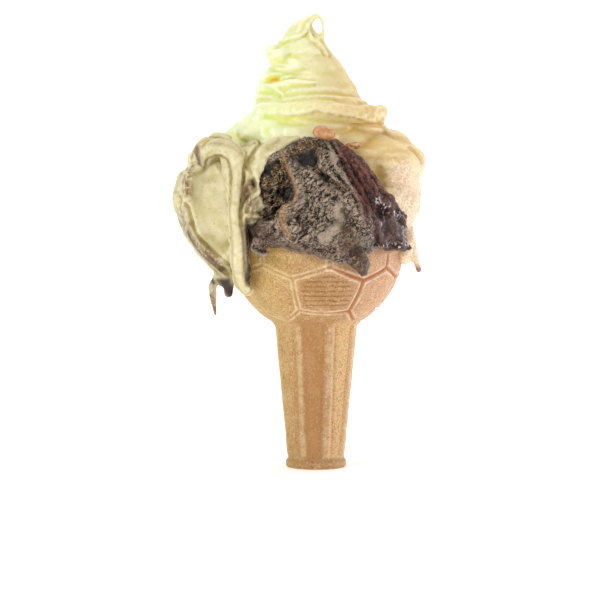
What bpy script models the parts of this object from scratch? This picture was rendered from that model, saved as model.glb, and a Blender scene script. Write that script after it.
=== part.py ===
# Gelato heap in a moulded wafer cup: three flavours spread over the rim of a
# round bowl that carries a pattern of five and six sided panels, on a ribbed stem.
# Metres, +Z up, foot of the stem at Z = 0, cup axis at X = Y = 0, front toward -Y.
import math

import bmesh
import bpy
from mathutils import Euler, Matrix, Vector

MM = 0.001

# Driving dimensions, in millimetres
BOWL_R = 33.0          # outside radius of the round bowl
BOWL_Z = 84.0          # height of the bowl's centre
RIM_Z = 85.0           # top of the rim
BAND = 3.6             # height of the plain band under the rim
WALL = 2.2             # wafer thickness
STEM_TOP_R = 15.6      # stem radius where it meets the bowl
STEM_TOP_Z = 54.6
FOOT_R = 10.6          # stem radius just above the base ring
RING_R = 11.4          # base ring
RING_H = 3.0
FLOOR = 3.2            # thickness of the stem's closed bottom
FILLET = 3.0           # stem to bowl
RIBS = 8
RIB_FROM = -70.0       # azimuth of the first rib, degrees from the front
RIB_R = 1.15
RIB_OUT = 0.75         # how far a rib stands out
SEAM_R = 0.62          # radius of the groove tool
SEAM_DEEP = 0.45
GAP = 0.35             # clearance between neighbouring pieces
TURN_STEPS = 44

# Corners of the front half's panels: azimuth from the front, latitude on the bowl
CORNERS = {
    "apex": (8.5, -11.7), "ul": (-16.5, -19.5), "ur": (34.3, -21.3),
    "lr": (31.2, -45.3), "ll": (-15.9, -44.3),
    "l1": (-38.1, -10.8), "l2": (-51.0, -14.5), "l3": (-62.0, -29.1),
    "l4": (-60.0, -44.1), "l5": (-35.4, -55.6),
    "r1": (54.1, -13.1), "r2": (75.1, -20.3), "r3": (66.7, -43.0),
    "r4": (48.5, -56.2),
    "lb": (-37.4, -4.2), "rb": (53.7, -4.2), "ab": (8.5, -4.2),
    "le": (-90.0, -14.0), "re": (90.0, -15.5),
    "lf": (-90.0, -40.0), "rf": (90.0, -46.0),
}
SEAMS = [
    ("apex", "ul"), ("ul", "ll"), ("ll", "lr"), ("lr", "ur"), ("ur", "apex"),
    ("ul", "l1"), ("l1", "l2"), ("l2", "l3"), ("l3", "l4"), ("l4", "l5"),
    ("l5", "ll"), ("ur", "r1"), ("r1", "r2"), ("r2", "r3"), ("r3", "r4"),
    ("r4", "lr"), ("apex", "ab"), ("l1", "lb"), ("r1", "rb"),
    ("l2", "le"), ("r2", "re"), ("l4", "lf"), ("r3", "rf"),
]

# Each mass is ellipsoids (centre, half sizes, turn about Y in degrees) and ropes
# (points with a radius each), in millimetres.
CHOCOLATE_BALLS = [
    ((4.2, -22.0, 102.2), (26.5, 20.5, 18.6), 42.0),
    ((26.5, -21.0, 92.0), (10.0, 15.0, 9.0), 0.0),
    ((-13.5, -26.5, 92.0), (10.5, 14.0, 8.6), 8.0),
    ((-3.5, -22.0, 117.5), (11.0, 13.5, 10.0), 0.0),
    ((5.0, -28.0, 90.0), (20.0, 15.0, 8.5), -4.0),
    ((-13.5, -22.0, 107.0), (8.2, 13.5, 12.5), 6.0),
]
CHOCOLATE_ROPES = [
    [(6.5, -30.0, 121.4, 3.0), (13.2, -33.5, 115.4, 3.4), (18.8, -34.5, 107.5, 3.6), (24.0, -32.5, 101.5, 3.4),
     (30.0, -29.0, 97.6, 3.2)],
    [(1.5, -35.0, 118.0, 3.0), (8.5, -40.0, 108.0, 4.0), (15.5, -40.5, 97.0, 4.0), (24.0, -33.0, 89.0, 4.0)],
    [(-12.5, -30.5, 119.5, 2.4), (-9.5, -36.5, 111.0, 2.8), (-7.0, -40.0, 104.0, 3.0), (-11.0, -40.0, 97.0, 3.0), (-8.0, -40.0, 90.0, 3.0)],
    [(8.0, -36.5, 86.0, 4.0), (13.0, -33.5, 81.0, 4.0), (16.8, -31.3, 77.3, 2.6), (17.4, -31.0, 75.6, 1.6)],
    [(-19.0, -33.0, 88.0, 2.6), (-21.5, -32.0, 84.4, 2.0), (-18.5, -33.0, 82.8, 1.4)],
]
PISTACHIO_BALLS = [
    ((-35.2, -7.0, 100.5), (18.4, 23.0, 20.0), 0.0),
    ((-38.0, -7.0, 119.0), (7.6, 11.0, 7.4), 0.0),
    ((-34.5, -5.0, 85.5), (12.8, 17.0, 9.6), 0.0),
    ((-22.5, -16.0, 105.0), (14.5, 20.0, 18.5), 0.0),
    ((-30.0, -14.0, 88.0), (9.0, 17.5, 9.0), 0.0),
    ((-43.0, -8.0, 93.0), (9.4, 15.0, 11.0), 0.0),
]
PISTACHIO_ROPES = [
    [(-43.4, -19.0, 113.0, 3.0), (-42.2, -19.5, 119.0, 3.8), (-37.6, -22.0, 121.5, 4.2), (-32.0, -27.0, 117.0, 4.4),
     (-29.6, -31.5, 104.0, 4.2), (-29.2, -31.0, 90.0, 4.0), (-28.4, -25.5, 80.5, 3.3), (-27.2, -21.8, 72.5, 2.6), (-26.8, -20.2, 68.8, 2.4)],
    [(-8.0, -27.0, 124.5, 2.6), (-15.0, -29.5, 121.0, 3.6), (-20.5, -32.0, 114.0, 3.8), (-23.0, -33.5, 104.0, 3.4), (-24.5, -33.0, 95.0, 3.0)],
    [(-49.6, -9.0, 110.0, 3.0), (-51.6, -9.0, 103.0, 2.8), (-50.5, -10.0, 94.0, 3.0), (-46.5, -11.0, 85.0, 3.0), (-40.5, -12.0, 78.0, 3.0)],
    [(-37.5, -10.0, 80.0, 4.0), (-36.6, -11.0, 74.6, 2.9), (-36.2, -11.0, 71.6, 2.4)],
    [(-39.0, -10.5, 77.0, 2.0), (-40.0, -10.5, 71.0, 1.5), (-39.4, -10.5, 64.5, 1.3), (-38.3, -10.5, 58.8, 0.9)],
    [(-33.5, -10.0, 78.0, 3.4), (-33.4, -10.5, 71.5, 2.4), (-33.6, -10.5, 66.8, 2.0)],
]
CREAM_BALLS = [
    ((4.5, 9.5, 104.0), (36.0, 36.0, 22.5), 0.0),
    ((21.0, 1.0, 115.0), (20.6, 27.0, 11.8), 0.0),
    ((20.0, -3.0, 100.0), (19.4, 26.0, 14.0), 0.0),
    ((9.0, 6.0, 91.5), (27.0, 33.0, 10.0), 0.0),
    ((0.5, 3.0, 123.0), (28.0, 29.0, 11.5), 0.0),
    ((0.6, 1.5, 134.6), (25.8, 26.0, 4.9), 0.0),
    ((-6.0, -23.0, 124.0), (15.0, 7.0, 6.0), 0.0),
    ((-25.0, -3.0, 123.0), (9.5, 13.0, 7.0), 0.0),
    ((-13.9, -2.5, 156.0), (5.3, 10.0, 3.6), 0.0),
    ((-16.0, -1.0, 147.0), (5.0, 11.0, 3.6), 0.0),
    ((33.4, -5.0, 82.6), (3.6, 9.0, 5.4), 0.0),
]
CREAM_ROPES = [
    [(-1.5, 1.0, 134.0, 21.6), (-3.2, 1.0, 140.8, 20.4), (-3.2, 1.0, 147.6, 17.0), (-4.6, 0.5, 154.6, 13.8),
     (-6.0, 0.0, 160.2, 9.2), (-6.0, -0.3, 164.2, 5.4), (-3.2, -0.5, 168.6, 2.4), (0.0, -0.5, 171.2, 1.1)],
    [(0.0, -0.5, 171.2, 1.0), (2.0, -0.6, 169.6, 0.9), (2.6, -0.7, 165.6, 0.9), (2.6, -0.7, 160.0, 1.0)],
    [(-2.6, -1.0, 166.6, 1.3), (0.4, -1.2, 162.6, 1.2), (3.4, -1.4, 157.8, 1.4), (5.2, -1.4, 153.5, 1.6)],
    [(-21.5, -6.0, 132.4, 4.0), (-28.5, -6.0, 127.6, 3.4), (-34.0, -6.0, 123.6, 3.2)],
    [(34.6, -8.0, 90.0, 2.6), (36.2, -8.5, 83.0, 1.9), (37.6, -8.5, 78.6, 1.3), (38.6, -8.5, 75.4, 1.3)],
    [(-20.0, -15.0, 133.6, 3.4), (-8.0, -23.4, 134.0, 3.2), (6.0, -24.0, 133.0, 3.2), (18.0, -18.0, 133.4, 3.4), (24.0, -8.0, 134.6, 3.4)],
]
# Caramel bits that lie on the cream, above the chocolate
BITS = [
    ((2.8, -28.6, 128.6), (3.5, 2.4, 2.1), 12.0),
    ((18.6, -27.6, 123.2), (2.2, 1.8, 1.5), -20.0),
]

VOXEL = {"chocolate": 1.1, "pistachio": 1.1, "cream": 1.0}
FACES = {"chocolate": 1700, "pistachio": 1850, "cream": 2400}


def clear_scene():
    for ob in list(bpy.data.objects):
        bpy.data.objects.remove(ob, do_unlink=True)
    for mesh in list(bpy.data.meshes):
        bpy.data.meshes.remove(mesh)


def collection(name, hidden=False):
    coll = bpy.data.collections.new(name)
    bpy.context.scene.collection.children.link(coll)
    coll.hide_render = hidden
    return coll


def link(name, mesh, coll):
    ob = bpy.data.objects.new(name, mesh)
    coll.objects.link(ob)
    if coll.hide_render:
        ob.display_type = "WIRE"
        ob.hide_render = True
    return ob


def material(name, colour, rough):
    mat = bpy.data.materials.new(name)
    mat.use_nodes = True
    shader = mat.node_tree.nodes["Principled BSDF"]
    shader.inputs["Base Color"].default_value = (*colour, 1.0)
    shader.inputs["Roughness"].default_value = rough
    return mat


def baked(ob):
    """The object's mesh with its modifiers applied, back on the object."""
    depsgraph = bpy.context.evaluated_depsgraph_get()
    mesh = bpy.data.meshes.new_from_object(ob.evaluated_get(depsgraph))
    ob.modifiers.clear()
    ob.data = mesh
    return ob


def add_ball(bm, centre, half, turn, segments=28, rings=18):
    place = Matrix.Translation(Vector(centre) * MM)
    place = place @ Euler((0.0, math.radians(turn), 0.0)).to_matrix().to_4x4()
    place = place @ Matrix.Diagonal((half[0] * MM, half[1] * MM, half[2] * MM, 1.0))
    bmesh.ops.create_uvsphere(bm, u_segments=segments, v_segments=rings, radius=1.0, matrix=place)


def add_rope(bm, points):
    """A bevelled curve through the points, closed by a ball at each end."""
    curve = bpy.data.curves.new("rope", "CURVE")
    curve.dimensions = "3D"
    curve.bevel_depth = MM
    curve.bevel_resolution = 3
    curve.use_fill_caps = True
    curve.resolution_u = 7
    spline = curve.splines.new("BEZIER")
    spline.bezier_points.add(len(points) - 1)
    for knot, (x, y, z, r) in zip(spline.bezier_points, points):
        knot.co = Vector((x, y, z)) * MM
        knot.radius = r
        knot.handle_left_type = "AUTO"
        knot.handle_right_type = "AUTO"
    ob = bpy.data.objects.new("rope", curve)
    bpy.context.scene.collection.objects.link(ob)
    depsgraph = bpy.context.evaluated_depsgraph_get()
    mesh = bpy.data.meshes.new_from_object(ob.evaluated_get(depsgraph))
    bpy.data.objects.remove(ob, do_unlink=True)
    bm.from_mesh(mesh)
    bpy.data.meshes.remove(mesh)
    for x, y, z, r in (points[0], points[-1]):
        add_ball(bm, (x, y, z), (r, r, r), 0.0, 16, 10)


def melted(name, balls, ropes, voxel, coll):
    """One closed skin round all the pieces of a mass, softened where they meet."""
    bm = bmesh.new()
    for centre, half, turn in balls:
        add_ball(bm, centre, half, turn)
    for points in ropes:
        add_rope(bm, points)
    bmesh.ops.remove_doubles(bm, verts=bm.verts, dist=1e-7)
    mesh = bpy.data.meshes.new(name)
    bm.to_mesh(mesh)
    bm.free()
    ob = link(name, mesh, coll)
    remesh = ob.modifiers.new("skin", "REMESH")
    remesh.mode = "VOXEL"
    remesh.voxel_size = voxel * MM
    smooth = ob.modifiers.new("soften", "SMOOTH")
    smooth.factor = 0.5
    smooth.iterations = 3
    return baked(ob)


def thinned(ob, faces):
    triangles = ob.modifiers.new("triangles", "TRIANGULATE")
    triangles.quad_method = "BEAUTY"
    baked(ob)
    fewer = ob.modifiers.new("fewer", "DECIMATE")
    fewer.ratio = min(1.0, faces / len(ob.data.polygons))
    return baked(ob)


def grown(ob, by, name, coll):
    """A copy moved out along its normals, the clearance round a neighbour."""
    mesh = ob.data.copy()
    copy = link(name, mesh, coll)
    push = copy.modifiers.new("grow", "DISPLACE")
    push.mid_level = 0.0
    push.strength = by * MM
    return baked(copy)


def boolean(ob, tool, operation, solver="EXACT", self_crossing=False):
    cut = ob.modifiers.new(operation.lower(), "BOOLEAN")
    cut.operation = operation
    cut.solver = solver
    cut.use_self = self_crossing
    cut.object = tool
    return baked(ob)


def largest_piece(ob):
    """Drops the crumbs that a cut leaves beside the main piece."""
    bm = bmesh.new()
    bm.from_mesh(ob.data)
    bm.verts.ensure_lookup_table()
    seen = set()
    groups = []
    for start in bm.verts:
        if start.index in seen:
            continue
        stack = [start]
        group = []
        seen.add(start.index)
        while stack:
            v = stack.pop()
            group.append(v)
            for e in v.link_edges:
                other = e.other_vert(v)
                if other.index not in seen:
                    seen.add(other.index)
                    stack.append(other)
        groups.append(group)
    groups.sort(key=len, reverse=True)
    loose = [v for group in groups[1:] for v in group]
    bmesh.ops.delete(bm, geom=loose, context="VERTS")
    bmesh.ops.remove_doubles(bm, verts=bm.verts, dist=2e-6)
    bmesh.ops.dissolve_degenerate(bm, edges=bm.edges, dist=1e-6)
    bmesh.ops.triangulate(bm, faces=bm.faces)
    bm.to_mesh(ob.data)
    bm.free()
    return ob


def arc(centre_r, centre_z, radius, start, end, steps):
    """Profile points (r, z) on a circle, angles in degrees above the horizontal."""
    out = []
    for i in range(steps + 1):
        a = math.radians(start + (end - start) * i / steps)
        out.append((centre_r + radius * math.cos(a), centre_z + radius * math.sin(a)))
    return out


def cup_profile(grow=0.0):
    """Closed outline of the wafer, from the axis at the foot round to the axis inside."""
    outside = BOWL_R + grow
    stem_a = math.degrees(math.asin((STEM_TOP_Z + 1.2 - BOWL_Z) / outside))
    rim_a = math.degrees(math.asin((RIM_Z - BAND - BOWL_Z) / outside))
    inside = BOWL_R - WALL - grow
    lower_r = STEM_TOP_R - WALL - grow
    lower_a = -math.degrees(math.acos(lower_r / inside))
    points = [(0.0, -grow), (RING_R - 0.5 + grow, -grow), (RING_R + grow, 0.5 - grow)]
    points += [(RING_R + grow, RING_H - 0.4 + grow), (FOOT_R + grow, RING_H + 0.5 + grow)]
    points += [(STEM_TOP_R + grow, STEM_TOP_Z)]
    points += arc(0.0, BOWL_Z, outside, stem_a, rim_a, 9)
    points += [(BOWL_R + 0.35 + grow, RIM_Z - BAND + 0.5), (BOWL_R + 0.45 + grow, RIM_Z - 0.6)]
    points += [(BOWL_R - 0.1 + grow, RIM_Z + grow), (BOWL_R - WALL + 0.3 - grow, RIM_Z + grow)]
    points += [(inside, RIM_Z - 0.5)]
    points += arc(0.0, BOWL_Z, inside, -6.0, lower_a, 7)
    points += [(FOOT_R - WALL - grow, FLOOR + grow), (0.0, FLOOR + grow)]
    return points


def turned(name, profile, coll):
    bm = bmesh.new()
    last = None
    for r, z in profile:
        v = bm.verts.new((r * MM, 0.0, z * MM))
        if last:
            bm.edges.new((last, v))
        last = v
    mesh = bpy.data.meshes.new(name)
    bm.to_mesh(mesh)
    bm.free()
    ob = link(name, mesh, coll)
    screw = ob.modifiers.new("turn", "SCREW")
    screw.axis = "Z"
    screw.steps = TURN_STEPS
    screw.render_steps = TURN_STEPS
    screw.use_merge_vertices = True
    screw.merge_threshold = 1e-5
    screw.use_normal_calculate = True
    baked(ob)
    bm = bmesh.new()
    bm.from_mesh(ob.data)
    bmesh.ops.remove_doubles(bm, verts=bm.verts, dist=1e-5)
    bmesh.ops.recalc_face_normals(bm, faces=bm.faces)
    bm.to_mesh(ob.data)
    bm.free()
    return ob


def on_bowl(azimuth, latitude, radius):
    a = math.radians(azimuth)
    b = math.radians(latitude)
    return Vector((math.sin(a) * math.cos(b), -math.cos(a) * math.cos(b), math.sin(b))) * radius


def seam_tool(coll):
    """Thin round bars along the seams of the front half, mirrored to the back."""
    bm = bmesh.new()
    for first, last in SEAMS:
        a = on_bowl(*CORNERS[first], 1.0)
        b = on_bowl(*CORNERS[last], 1.0)
        steps = max(2, round(math.degrees(a.angle(b)) / 9.0))
        curve = bpy.data.curves.new("seam", "CURVE")
        curve.dimensions = "3D"
        curve.bevel_depth = SEAM_R * MM
        curve.bevel_resolution = 0
        curve.use_fill_caps = True
        spline = curve.splines.new("POLY")
        spline.points.add(steps)
        for i in range(steps + 1):
            p = a.slerp(b, i / steps) * (BOWL_R + SEAM_R - SEAM_DEEP)
            spline.points[i].co = (p.x * MM, p.y * MM, (p.z + BOWL_Z) * MM, 1.0)
        ob = bpy.data.objects.new("seam", curve)
        bpy.context.scene.collection.objects.link(ob)
        depsgraph = bpy.context.evaluated_depsgraph_get()
        mesh = bpy.data.meshes.new_from_object(ob.evaluated_get(depsgraph))
        bpy.data.objects.remove(ob, do_unlink=True)
        start = len(bm.verts)
        bm.from_mesh(mesh)
        bm.verts.ensure_lookup_table()
        bmesh.ops.remove_doubles(bm, verts=bm.verts[start:], dist=1e-5)
    mesh = bpy.data.meshes.new("seam_tool")
    bm.to_mesh(mesh)
    bm.free()
    ob = link("seam_tool", mesh, coll)
    mirror = ob.modifiers.new("back_half", "MIRROR")
    mirror.use_axis = (False, True, False)
    mirror.use_mirror_merge = False
    return baked(ob)


def ribs_tool(coll):
    """Straight ribs laid along the stem, half sunk into it."""
    bm = bmesh.new()
    low = RING_H + 1.0
    high = STEM_TOP_Z + 0.6
    for i in range(RIBS):
        a = math.radians(RIB_FROM + i * 360.0 / RIBS)
        ends = []
        for z in (low, high):
            share = (z - RING_H) / (STEM_TOP_Z - RING_H)
            r = FOOT_R + (STEM_TOP_R - FOOT_R) * share + RIB_OUT - RIB_R
            ends.append(Vector((math.sin(a) * r, -math.cos(a) * r, z)) * MM)
        along = ends[1] - ends[0]
        place = Matrix.Translation((ends[0] + ends[1]) / 2.0) @ along.to_track_quat("Z", "Y").to_matrix().to_4x4()
        bmesh.ops.create_cone(
            bm, cap_ends=True, segments=10, radius1=RIB_R * MM, radius2=RIB_R * MM,
            depth=along.length, matrix=place,
        )
    mesh = bpy.data.meshes.new("ribs_tool")
    bm.to_mesh(mesh)
    bm.free()
    return link("ribs_tool", mesh, coll)


def finish(ob, mat, smooth_angle=40.0):
    ob.data.materials.clear()
    ob.data.materials.append(mat)
    for face in ob.data.polygons:
        face.use_smooth = True
    ob.data.set_sharp_from_angle(angle=math.radians(smooth_angle))


def main():
    clear_scene()
    parts = collection("gelato_cup")
    cutters = collection("gelato_cup_cutters", hidden=True)

    cup = turned("cup", cup_profile(), parts)
    boolean(cup, ribs_tool(cutters), "UNION")
    boolean(cup, seam_tool(cutters), "DIFFERENCE", self_crossing=True)
    largest_piece(cup)

    room = turned("cup_room", cup_profile(GAP), cutters)

    chocolate = melted("chocolate_gelato", CHOCOLATE_BALLS, CHOCOLATE_ROPES, VOXEL["chocolate"], parts)
    thinned(chocolate, FACES["chocolate"])
    boolean(chocolate, room, "DIFFERENCE", "MANIFOLD")
    largest_piece(chocolate)
    chocolate_room = grown(chocolate, GAP, "chocolate_room", cutters)

    pistachio = melted("pistachio_gelato", PISTACHIO_BALLS, PISTACHIO_ROPES, VOXEL["pistachio"], parts)
    thinned(pistachio, FACES["pistachio"])
    boolean(pistachio, room, "DIFFERENCE", "MANIFOLD")
    boolean(pistachio, chocolate_room, "DIFFERENCE", "MANIFOLD")
    largest_piece(pistachio)
    pistachio_room = grown(pistachio, GAP, "pistachio_room", cutters)

    plug = [((0.0, 0.0, BOWL_Z), (BOWL_R - WALL, BOWL_R - WALL, BOWL_R - WALL), 0.0)]
    stem = [[(0.0, 0.0, FLOOR + 9.0, FOOT_R - WALL + 0.4), (0.0, 0.0, STEM_TOP_Z, STEM_TOP_R - WALL + 0.6)]]
    cream = melted("cream_gelato", CREAM_BALLS + BITS + plug, CREAM_ROPES + stem, VOXEL["cream"], parts)
    thinned(cream, FACES["cream"])
    boolean(cream, room, "DIFFERENCE", "MANIFOLD")
    boolean(cream, chocolate_room, "DIFFERENCE", "MANIFOLD")
    boolean(cream, pistachio_room, "DIFFERENCE", "MANIFOLD")
    largest_piece(cream)

    finish(cup, material("wafer", (0.72, 0.47, 0.25), 0.65))
    finish(cream, material("cream", (0.93, 0.88, 0.58), 0.45), 60.0)
    finish(pistachio, material("pistachio", (0.70, 0.64, 0.40), 0.45), 60.0)
    finish(chocolate, material("chocolate", (0.09, 0.04, 0.03), 0.4), 60.0)


main()
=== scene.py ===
import math

import bmesh
import bpy
import numpy as np
from mathutils import Euler, Matrix, Vector, noise


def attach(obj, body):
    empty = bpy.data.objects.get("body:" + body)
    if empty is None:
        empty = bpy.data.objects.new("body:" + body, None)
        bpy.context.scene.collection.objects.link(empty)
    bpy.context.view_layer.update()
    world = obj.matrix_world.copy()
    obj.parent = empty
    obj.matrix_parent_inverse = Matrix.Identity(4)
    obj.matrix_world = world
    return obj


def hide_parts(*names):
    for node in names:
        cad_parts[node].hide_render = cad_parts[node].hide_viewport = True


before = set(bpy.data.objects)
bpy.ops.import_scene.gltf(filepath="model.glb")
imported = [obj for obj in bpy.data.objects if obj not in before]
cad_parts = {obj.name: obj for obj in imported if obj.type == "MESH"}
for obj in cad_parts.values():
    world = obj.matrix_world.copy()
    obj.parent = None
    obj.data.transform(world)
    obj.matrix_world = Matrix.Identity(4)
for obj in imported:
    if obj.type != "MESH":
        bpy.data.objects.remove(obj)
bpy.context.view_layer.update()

MM = 0.001
WELD = 1e-5

# The same sizes as the part's source, in millimetres
BOWL_R = 33.0
BOWL_Z = 84.0
RIM_Z = 85.0
BAND = 3.6
WALL = 2.2
STEM_TOP_R = 15.6
STEM_TOP_Z = 54.6
FOOT_R = 10.6
RING_R = 11.4
RING_H = 3.0
FLOOR = 3.2
RIBS = 8
RIB_TURN = 360.0 / RIBS
RIB_FROM = -70.0
RIB_OUT = 0.75
CUP_STEPS = 480
FILLING_STEPS = 120

CORNERS = {
    "apex": (8.5, -11.7), "ul": (-16.5, -19.5), "ur": (34.3, -21.3),
    "lr": (31.2, -45.3), "ll": (-15.9, -44.3),
    "l1": (-38.1, -10.8), "l2": (-51, -14.5), "l3": (-62, -29.1),
    "l4": (-60, -44.1), "l5": (-35.4, -55.6),
    "r1": (54.1, -13.1), "r2": (75.1, -20.3), "r3": (66.7, -43),
    "r4": (48.5, -56.2),
    "lb": (-37.4, -4.2), "rb": (53.7, -4.2), "ab": (8.5, -4.2),
    "le": (-90, -14), "re": (90, -15.5),
    "lf": (-90, -40), "rf": (90, -46),
}
SEAMS = [
    ("apex", "ul"), ("ul", "ll"), ("ll", "lr"), ("lr", "ur"), ("ur", "apex"),
    ("ul", "l1"), ("l1", "l2"), ("l2", "l3"), ("l3", "l4"), ("l4", "l5"),
    ("l5", "ll"), ("ur", "r1"), ("r1", "r2"), ("r2", "r3"), ("r3", "r4"),
    ("r4", "lr"), ("l1", "lb"), ("r1", "rb"),
    ("l2", "le"), ("r2", "re"), ("l4", "lf"), ("r3", "rf"),
]
STRIP = ("apex", "ab")
PENTAGON = ("apex", "ur", "lr", "ll", "ul")

CHOCOLATE_BALLS = [
    ((4.2, -22, 102.2), (26.5, 20.5, 18.6), 42),
    ((26, -21, 92), (9.2, 15, 8.8), 0),
    ((-13.5, -26.5, 92), (10.5, 14, 8.6), 8),
    ((-3.5, -22, 117.5), (11, 13.5, 10), 0),
    ((5, -28, 90), (20, 15, 8.5), -4),
    ((-13.5, -22, 107), (8.2, 13.5, 12.5), 6),
    ((-14.8, -31.5, 107.5), (6.6, 9, 13), 4),
    ((-8.6, -24.5, 118.4), (7.5, 10, 7.2), 0),
    ((-4, -31.5, 97.5), (10, 9.6, 10), 0),
    ((-14, -32, 92), (7, 8, 7), 0),
    ((31, -21, 85.9), (4.2, 12, 3.4), 0),
]
CHOCOLATE_ROPES = [
    [(6.5, -30, 121.4, 3), (13.2, -33.5, 115.4, 3.4), (18.8, -34.5, 107.5, 3.6),
     (24, -32.5, 101.5, 3.4), (30, -29, 97.6, 3.2)],
    [(1.5, -35, 118, 3), (8.5, -40, 108, 4), (15.5, -40.5, 97, 4), (24, -33, 89, 4)],
    [(-12.5, -30.5, 119.5, 2.4), (-9.5, -36.5, 111, 2.8), (-7, -40, 104, 3), (-11, -40, 97, 3),
     (-8, -40, 90, 3)],
    [(8, -36.5, 86, 4), (13, -33.5, 81, 4), (16.8, -31.3, 77.3, 2.6), (17.4, -31, 75.6, 1.6)],
    [(-19, -33, 88, 2.6), (-21.5, -32, 84.4, 2), (-18.5, -33, 82.8, 1.4)],
    [(0, -34.5, 86.5, 4), (8, -33.8, 83, 4.6), (14.5, -31.5, 81, 4.8), (17, -30.2, 78.6, 3)],
]
PISTACHIO_BALLS = [
    ((-35.2, -7, 100.5), (18.4, 23, 20), 0),
    ((-38, -7, 119), (7.6, 11, 7.4), 0),
    ((-34.5, -5, 85.5), (12.8, 17, 9.6), 0),
    ((-22.5, -16, 105), (14.5, 20, 18.5), 0),
    ((-30, -14, 88), (9, 17.5, 9), 0),
    ((-43, -8, 93), (9.4, 15, 11), 0),
]
PISTACHIO_ROPES = [
    [(-43.4, -19, 113, 3), (-42.2, -19.5, 119, 3.8), (-37.6, -22, 121.5, 4.2), (-32, -27, 117, 4.4),
     (-29.6, -31.5, 104, 4.2), (-29.2, -31, 90, 4), (-28.4, -25.5, 80.5, 3.3),
      (-27.2, -21.8, 72.5, 2.6), (-26.8, -20.2, 68.8, 2.4)],
    [(-8, -27, 124.5, 2.6), (-15, -29.5, 121, 3.6), (-20.5, -32, 114, 3.8), (-23, -33.5, 104, 3.4),
     (-24.5, -33, 95, 3)],
    [(-49.6, -9, 110, 3), (-51.6, -9, 103, 2.8), (-50.5, -10, 94, 3), (-46.5, -11, 85, 3),
     (-40.5, -12, 78, 3)],
    [(-37.5, -10, 80, 4), (-36.6, -11, 74.6, 2.9), (-36.2, -11, 71.6, 2.4)],
    [(-39, -10.5, 77, 2), (-40, -10.5, 71, 1.5), (-39.4, -10.5, 64.5, 1.3), (-38.3, -10.5, 58.8, 0.9)],
    [(-33.5, -10, 78, 3.4), (-33.4, -10.5, 71.5, 2.4), (-33.6, -10.5, 66.8, 2)],
]
CREAM_BALLS = [
    ((4.5, 9.5, 104), (36, 36, 22.5), 0),
    ((21, 1, 115), (20.6, 27, 11.8), 0),
    ((20, -3, 100), (19.4, 26, 14), 0),
    ((9, 6, 91.5), (27, 33, 10), 0),
    ((0.5, 3, 123), (28, 29, 11.5), 0),
    ((0.6, 1.5, 134.6), (25.8, 26, 4.9), 0),
    ((-6, -23, 124), (15, 7, 6), 0),
    ((-25, -3, 123), (9.5, 13, 7), 0),
    ((-13.9, -2.5, 156), (5.3, 10, 3.6), 0),
    ((-16, -1, 147), (5, 11, 3.6), 0),
    ((33.4, -5, 82.6), (3.6, 9, 5.4), 0),
    ((-15, -15, 127), (14.5, 10, 7.5), 6),
    ((-2, -19, 128), (14, 8, 6), 0),
    ((15, 0, 128.5), (11.4, 18, 7.6), 0),
    ((24, -0.5, 120.6), (12.5, 20, 6.2), 14),
    ((30, -1, 124.6), (6, 10, 3.2), 24),
]
CREAM_ROPES = [
    [(-1.5, 1, 134, 21.6), (-3.2, 1, 140.8, 20.4), (-3.2, 1, 147.6, 17), (-4.6, 0.5, 154.6, 13.8),
     (-6, 0, 160.2, 9.2), (-6, -0.3, 164.2, 5.4), (-3.2, -0.5, 168.6, 2.4), (0, -0.5, 171.2, 1.1)],
    [(0, -0.5, 171.2, 1), (2, -0.6, 169.6, 0.9), (2.6, -0.7, 165.6, 0.9), (2.6, -0.7, 160, 1)],
    [(-2.6, -1, 166.6, 1.3), (0.4, -1.2, 162.6, 1.2), (3.4, -1.4, 157.8, 1.4), (5.2, -1.4, 153.5, 1.6)],
    [(-21.5, -6, 132.4, 4), (-28.5, -6, 127.6, 3.4), (-34, -6, 123.6, 3.2)],
    [(34.6, -8, 90, 2.6), (36.2, -8.5, 83, 1.9), (37.6, -8.5, 78.6, 1.3), (38.6, -8.5, 75.4, 1.3)],
    [(-20, -15, 133.6, 3.4), (-8, -23.4, 134, 3.2), (6, -24, 133, 3.2), (18, -18, 133.4, 3.4),
     (24, -8, 134.6, 3.4)],
]

# Paths in picture pixels
# TAN is the ridge whose lit edge is painted tan as a highlight.
TAN = [(280.5, 151), (285, 160.5), (287.5, 167.5), (292, 179), (295.5, 189), (296, 195), (292, 202),
    (286, 205.5), (280, 213.5), (281.7, 224), (287.5, 233), (291, 238)]
SMEAR = [(340.5, 199), (337, 212), (340, 221), (330, 234), (318, 243)]
RIBBON = [(327, 141), (330.5, 151), (332.5, 158), (337.5, 163)]
ROLL = [(197, 166), (201, 154), (208, 148), (217, 146.5), (228, 149.5), (235.5, 158), (237.5, 176),
    (236, 196), (234.5, 214), (237.5, 240), (238.5, 265), (241, 280), (246, 289)]
ROLL_WIDTHS = [6, 8.5, 8, 6, 4.6, 4.6, 5.2, 5.6, 5]

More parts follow.
